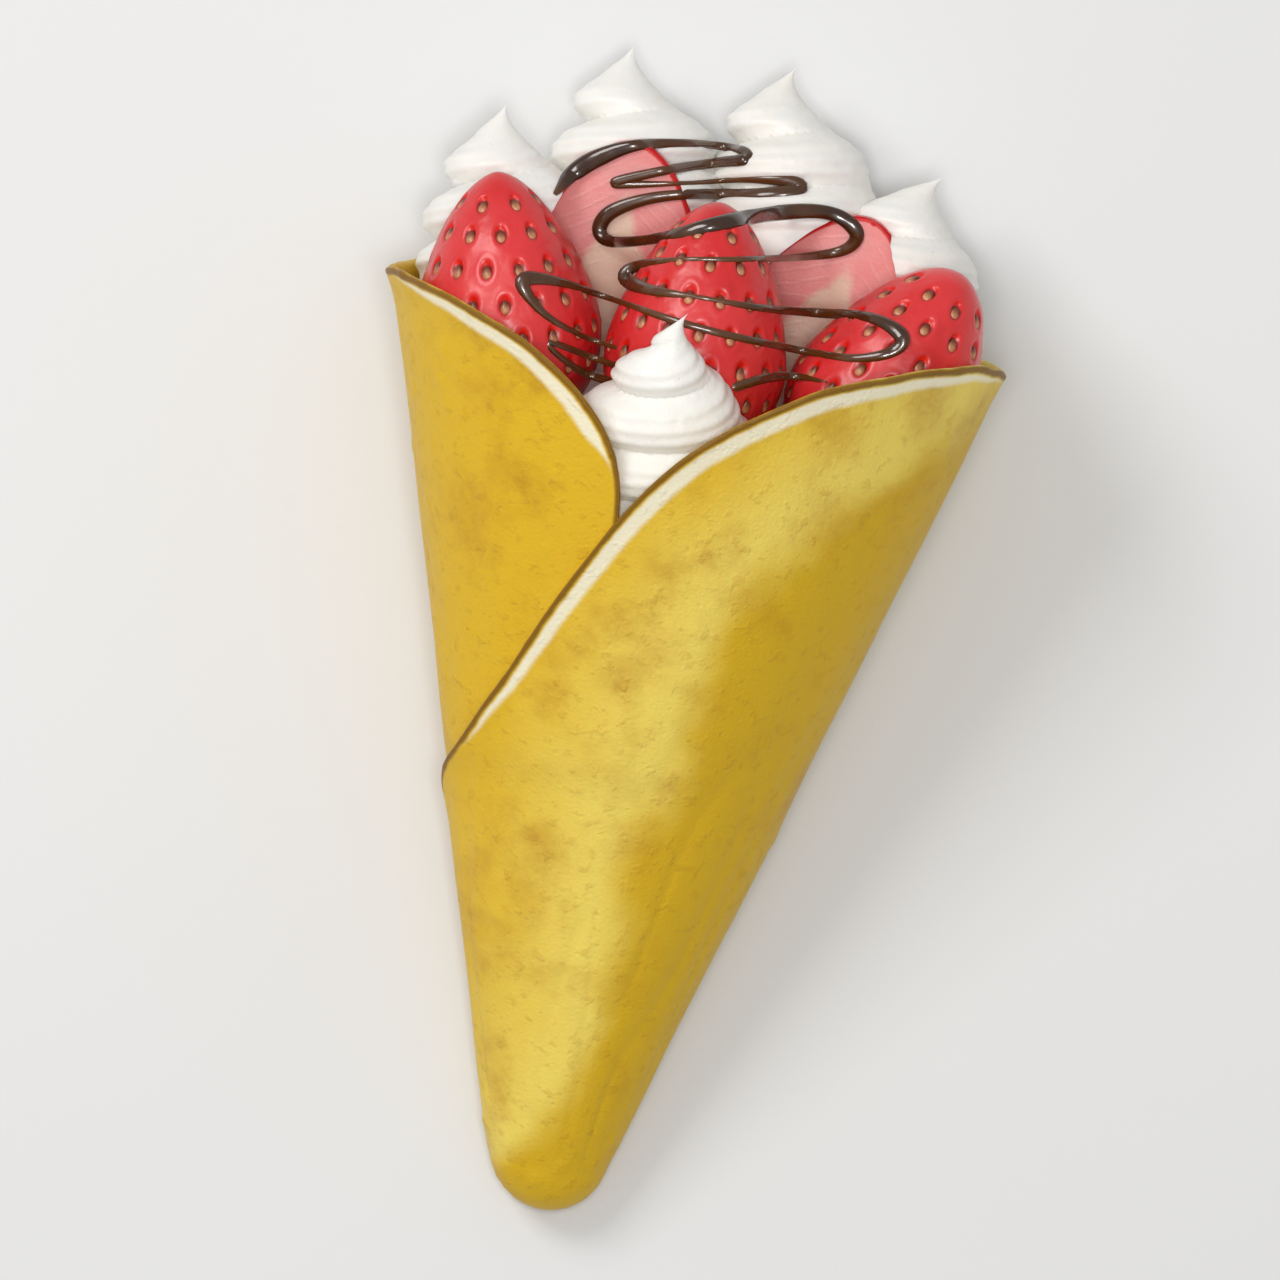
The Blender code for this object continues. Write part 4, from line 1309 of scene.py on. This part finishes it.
# Seeds of the strawberries
def makeSeedTree():
    tree, given, result = newGroup(
        "strawberrySeeds", "GeometryNodeTree",
        [("Geometry", "Geometry", None), ("Seed Width", "Float", 0.84), ("Seed Length", "Float", 1.38),
         ("Seed Height", "Float", 0.5), ("Taper", "Float", 0.28), ("Material", "Material", None)],
        [("Geometry", "Geometry")],
    )
    ball = addNode(tree, "GeometryNodeMeshUVSphere", {"Segments": 14, "Rings": 9, "Radius": 1.0})
    spot = addNode(tree, "GeometryNodeInputPosition").outputs[0]
    parts = addNode(tree, "ShaderNodeSeparateXYZ", {0: spot}).outputs
    narrow = minus(tree, 1.0, times(tree, parts["Y"], given["Taper"]))
    x = times(tree, times(tree, parts["X"], narrow), given["Seed Width"])
    y = times(tree, parts["Y"], given["Seed Length"])
    z = times(tree, times(tree, parts["Z"], narrow), given["Seed Height"])
    drop = addNode(tree, "ShaderNodeCombineXYZ", {"X": x, "Y": y, "Z": z}).outputs[0]
    drop = calcVector(tree, "SCALE", drop, scale=mm)
    store = addNode(
        tree, "GeometryNodeStoreNamedAttribute",
        {"Geometry": ball.outputs["Mesh"], "Name": "seedLength", "Value": parts["Y"]}, domain="POINT",
    )
    kernel = addNode(tree, "GeometryNodeSetPosition", {"Geometry": store.outputs[0], "Position": drop})
    directions = []
    for name in ("outwards", "along"):
        node = addNode(tree, "GeometryNodeInputNamedAttribute", {"Name": name}, data_type="FLOAT_VECTOR")
        directions.append(node.outputs["Attribute"])
    turned = addNode(tree, "FunctionNodeAxesToRotation", primary_axis="Z", secondary_axis="Y")
    for socket, direction in zip(turned.inputs, directions):
        feed(tree, socket, direction)
    spread = addNode(
        tree, "GeometryNodeInstanceOnPoints",
        {"Points": given["Geometry"], "Instance": kernel.outputs[0], "Rotation": turned.outputs[0]},
    )
    endTree(tree, result, spread.outputs[0], given["Material"])
    return tree


print("seeds")
spots, alongs, normals = [], [], []
for name, places in seedSpots.items():
    others = [tree for other, tree in trees.items() if other != name]
    for spot, along, normal in places:
        position = place(*(spot - normal * (berries["dimpleDepth"] - berries["seedSunk"])))
        if not any(tree.find_nearest(position, 1.2 * mm)[0] for tree in others):
            spots.append(position)
            alongs.append(along)
            normals.append(normal)
seeds = meshObject("strawberrySeeds", spots, [])
setValues(seeds, "outwards", normals, "FLOAT_VECTOR")
setValues(seeds, "along", alongs, "FLOAT_VECTOR")
growWith(seeds, makeSeedTree(), {"Material": seedMaterial})


# Chocolate: the route seen from above, and the width there
drizzle = {
    "runs": (
        (
            (-29.3, 206.6, 0.9), (-26.9, 210.7, 3.2), (-22.5, 214.7, 3.3), (-15.8, 218.1, 2.1),
            (-5.2, 220.3, 1.5), (2.1, 220.5, 1.8), (3.4, 219.0, 2.3), (-1.9, 217.4, 1.9),
            (-11.4, 214.1, 1.8), (-19.0, 210.6, 1.9), (-7.5, 212.6, 0.9), (3.0, 215.2, 1.2),
            (11.9, 216.4, 2.4), (13.8, 215.2, 2.6), (7.0, 213.2, 2.3), (-3.7, 211.4, 1.9),
            (-12.4, 209.0, 2.2), (-18.7, 205.5, 2.8), (-20.3, 202.0, 2.8), (-17.7, 200.2, 2.2),
            (-9.3, 202.1, 2.0), (0.9, 206.4, 2.9), (11.2, 210.5, 2.9), (20.0, 212.0, 2.6),
            (25.2, 209.6, 2.9), (23.8, 206.1, 2.1), (16.1, 203.3, 1.5), (5.6, 200.7, 1.1),
            (-5.0, 198.8, 0.9), (-12.8, 196.3, 2.0), (-14.0, 193.9, 2.9), (-9.4, 192.5, 2.1),
            (-0.3, 192.7, 0.9), (10.7, 192.8, 1.4), (21.4, 194.0, 1.8), (30.5, 194.5, 2.0),
            (36.3, 192.2, 2.9), (35.1, 189.1, 2.2), (28.2, 186.8, 1.5), (17.2, 186.7, 1.4),
            (6.2, 186.9, 1.4), (-4.9, 187.9, 1.4), (-16.2, 189.9, 1.1), (-25.6, 191.1, 1.7),
            (-31.4, 190.7, 2.7), (-31.8, 188.9, 2.5), (-27.3, 185.0, 1.4), (-20.4, 182.5, 1.0),
            (-12.0, 181.1, 0.8),
        ),
        (
            (-12.0, 178.0, 1.2), (-18.0, 179.0, 1.2), (-25.1, 180.2, 1.2), (-24.7, 178.9, 1.1),
            (-19.3, 176.2, 1.4), (-12.1, 174.9, 1.9),
        ),
        ((8.2, 177.8, 1.8), (13.7, 180.6, 1.8), (19.0, 181.9, 1.4), (24.7, 181.8, 0.5)),
    ),
    "step": 0.45,
    "flatness": 0.55,
    "thinnest": 0.5,
    "upright": 0.55,  # how far the thread turns its flat side up
    "sunk": 0.16,
    "raised": 0.4,
    "steepest": 2.2,
    "bridging": 14,
    "smoothing": 8,
    "blunt": 0.4,
}


def softened(row):
    return [row[0]] + [(a + b * 2 + c) / 4 for a, b, c in zip(row, row[1:], row[2:])] + [row[-1]]


def drapedRun(run):
    corners = [Vector(point) for point in run]
    ends = [corners[0] * 2 - corners[1]] + corners + [corners[-1] * 2 - corners[-2]]
    route = []
    for before, start, end, after in zip(ends, ends[1:], ends[2:], ends[3:]):
        pieces = max(1, round((end - start).length / drizzle["step"]))
        route += [curveThrough(before, start, end, after, k / pieces) for k in range(pieces)]
    route.append(corners[-1])
    carriers = [tree for name, tree in trees.items() if name != "creamSwirlFront"]
    heights, ups, widths = [], [], []
    for x, y, width in route:
        hits = [tree.ray_cast(place(x, y, 120), -up)[:2] for tree in carriers]
        landed = [hit for hit in hits if hit[0]] or [(place(x, y, 0), up)]
        spot, normal = max(landed, key=lambda hit: hit[0].z)
        heights.append(spot.z / mm)
        ups.append((normal if normal.z > 0 else -normal).lerp(up, drizzle["upright"]))
        widths.append(max(width, drizzle["thinnest"]))
    laid = list(heights)
    drop = drizzle["steepest"] * drizzle["step"]
    for order in (range(1, len(laid)), range(len(laid) - 2, -1, -1)):
        for k in order:
            laid[k] = max(laid[k], laid[k - order.step] - drop)
    for _ in range(drizzle["bridging"]):
        averaged = [laid[0]] + [(a + c) / 2 for a, c in zip(laid, laid[2:])] + [laid[-1]]
        laid = [max(height, middle) for height, middle in zip(heights, averaged)]
    for _ in range(drizzle["smoothing"]):
        ups, laid = softened(ups), softened(laid)
    points = []
    for (x, y, _), height, width, upwards in zip(route, laid, widths, ups):
        rise = width / 2 * drizzle["flatness"] - drizzle["sunk"]
        lift = upwards.normalized() * max(rise, 0.0) * drizzle["raised"]
        points.append(Vector((x, y, height)) + lift)
    # Rounded ends
    last = len(points) - 1
    radii = []
    for k, width in enumerate(widths):
        reach = (min(k, last - k) + drizzle["blunt"]) * drizzle["step"]
        rounding = sqrt(max(0.0, 1 - (1 - min(reach / (width / 2), 1)) ** 2))
        radii.append(width / 2 * rounding * mm)
    return points, radii, [upwards.normalized() for upwards in ups]


def makeDrizzleTree():
    tree, given, result = newGroup(
        "chocolateThread", "GeometryNodeTree",
        [("Geometry", "Geometry", None), ("Profile Sides", "Int", 14), ("Flatness", "Float", 0.55),
         ("Material", "Material", None)],
        [("Geometry", "Geometry")],
    )
    kind = "GeometryNodeInputNamedAttribute"
    radius = addNode(tree, kind, {"Name": "threadRadius"}, data_type="FLOAT").outputs["Attribute"]
    upwards = addNode(tree, kind, {"Name": "threadUp"}, data_type="FLOAT_VECTOR").outputs["Attribute"]
    path = addNode(tree, "GeometryNodeMeshToCurve", {"Mesh": given["Geometry"]})
    turned = addNode(
        tree, "GeometryNodeSetCurveNormal",
        {"Curve": path.outputs[0], "Normal": upwards}, mode="FREE",
    )
    sizes = {"Resolution": given["Profile Sides"], "Radius": 1.0}
    circle = addNode(tree, "GeometryNodeCurvePrimitiveCircle", sizes)
    squash = addNode(tree, "ShaderNodeCombineXYZ", {"X": given["Flatness"], "Y": 1.0, "Z": 1.0})
    profile = addNode(
        tree, "GeometryNodeTransform", {"Geometry": circle.outputs[0], "Scale": squash.outputs[0]},
    )
    thread = addNode(
        tree, "GeometryNodeCurveToMesh",
        {"Curve": turned.outputs[0], "Profile Curve": profile.outputs[0], "Scale": radius,
         "Fill Caps": True},
    )
    endTree(tree, result, thread.outputs[0], given["Material"])
    return tree


print("chocolate")
points, links, radii, ups = [], [], [], []
for run in drizzle["runs"]:
    laidPoints, laidRadii, laidUps = drapedRun(run)
    first = len(points)
    links += [(first + k, first + k + 1) for k in range(len(laidPoints) - 1)]
    points += [place(*point) for point in laidPoints]
    radii += laidRadii
    ups += laidUps
thread = meshObject("chocolateDrizzle", points, [], links)
setValues(thread, "threadRadius", radii)
setValues(thread, "threadUp", ups, "FLOAT_VECTOR")
growWith(thread, makeDrizzleTree(), {"Flatness": drizzle["flatness"], "Material": chocolateMaterial})
outward(thread)

for name in [*cream["swirls"], "creamFilling"]:
    finishPiece(made[name], [creamMaterial], [nodeName(name)], 55)
for name in berries["whole"]:
    finishPiece(made[name], [berryMaterial], [nodeName(name)])
for name in berries["halves"]:
    both = [fleshMaterial, berryMaterial]
    finishPiece(made[name], both, [nodeName(name)], 50)
finishPiece(seeds, [seedMaterial])
finishPiece(thread, [chocolateMaterial])


# Floor and light
studio = {
    "floorSize": 30.0,
    "floorTones": ((0.80, 0.80, 0.80), (0.785, 0.785, 0.785)),
    "world": 0.38,
    "lamps": (
        ("key", (-0.62, 0.42, 0.88), 0.45, 5.1, (1.0, 0.99, 0.97)),
        ("top", (0.1, -0.15, 1.5), 0.9, 1.7, (1.0, 1.0, 1.0)),
        ("front", (0.02, -0.03, 1.6), 0.28, 7.4, (1.0, 1.0, 1.0)),
    ),
}


def makeFloorMaterial():
    material, tree, shader, spot = startMaterial("paleFloor", {"Specular IOR Level": 0.2})
    cloud = patches(tree, spot, 300, 0.3, 0.7)
    feed(tree, shader["Base Color"], mixColour(tree, cloud, *studio["floorTones"]))
    feed(tree, shader["Roughness"], timesPlus(tree, cloud, 0.05, 0.75))
    return material


print("studio")
half = studio["floorSize"] / 2
corners = [(-half, -half, 0), (half, -half, 0), (half, half, 0), (-half, half, 0)]
floor = meshObject("floor", corners, [(0, 1, 2, 3)])
floor.data.materials.append(makeFloorMaterial())
for name, spot, size, power, tint in studio["lamps"]:
    lampData = bpy.data.lights.new(name, "AREA")
    lampData.size = size
    lampData.energy = power
    lampData.color = tint
    lamp = addObject(name, lampData)
    lamp.location = spot
    lamp.rotation_euler = (-Vector(spot)).to_track_quat("-Z", "Y").to_euler()
world = bpy.data.worlds.new("studio")
bpy.context.scene.world = world
world.use_nodes = True
background = world.node_tree.nodes["Background"].inputs
background["Color"].default_value = (1, 1, 1, 1)
background["Strength"].default_value = studio["world"]
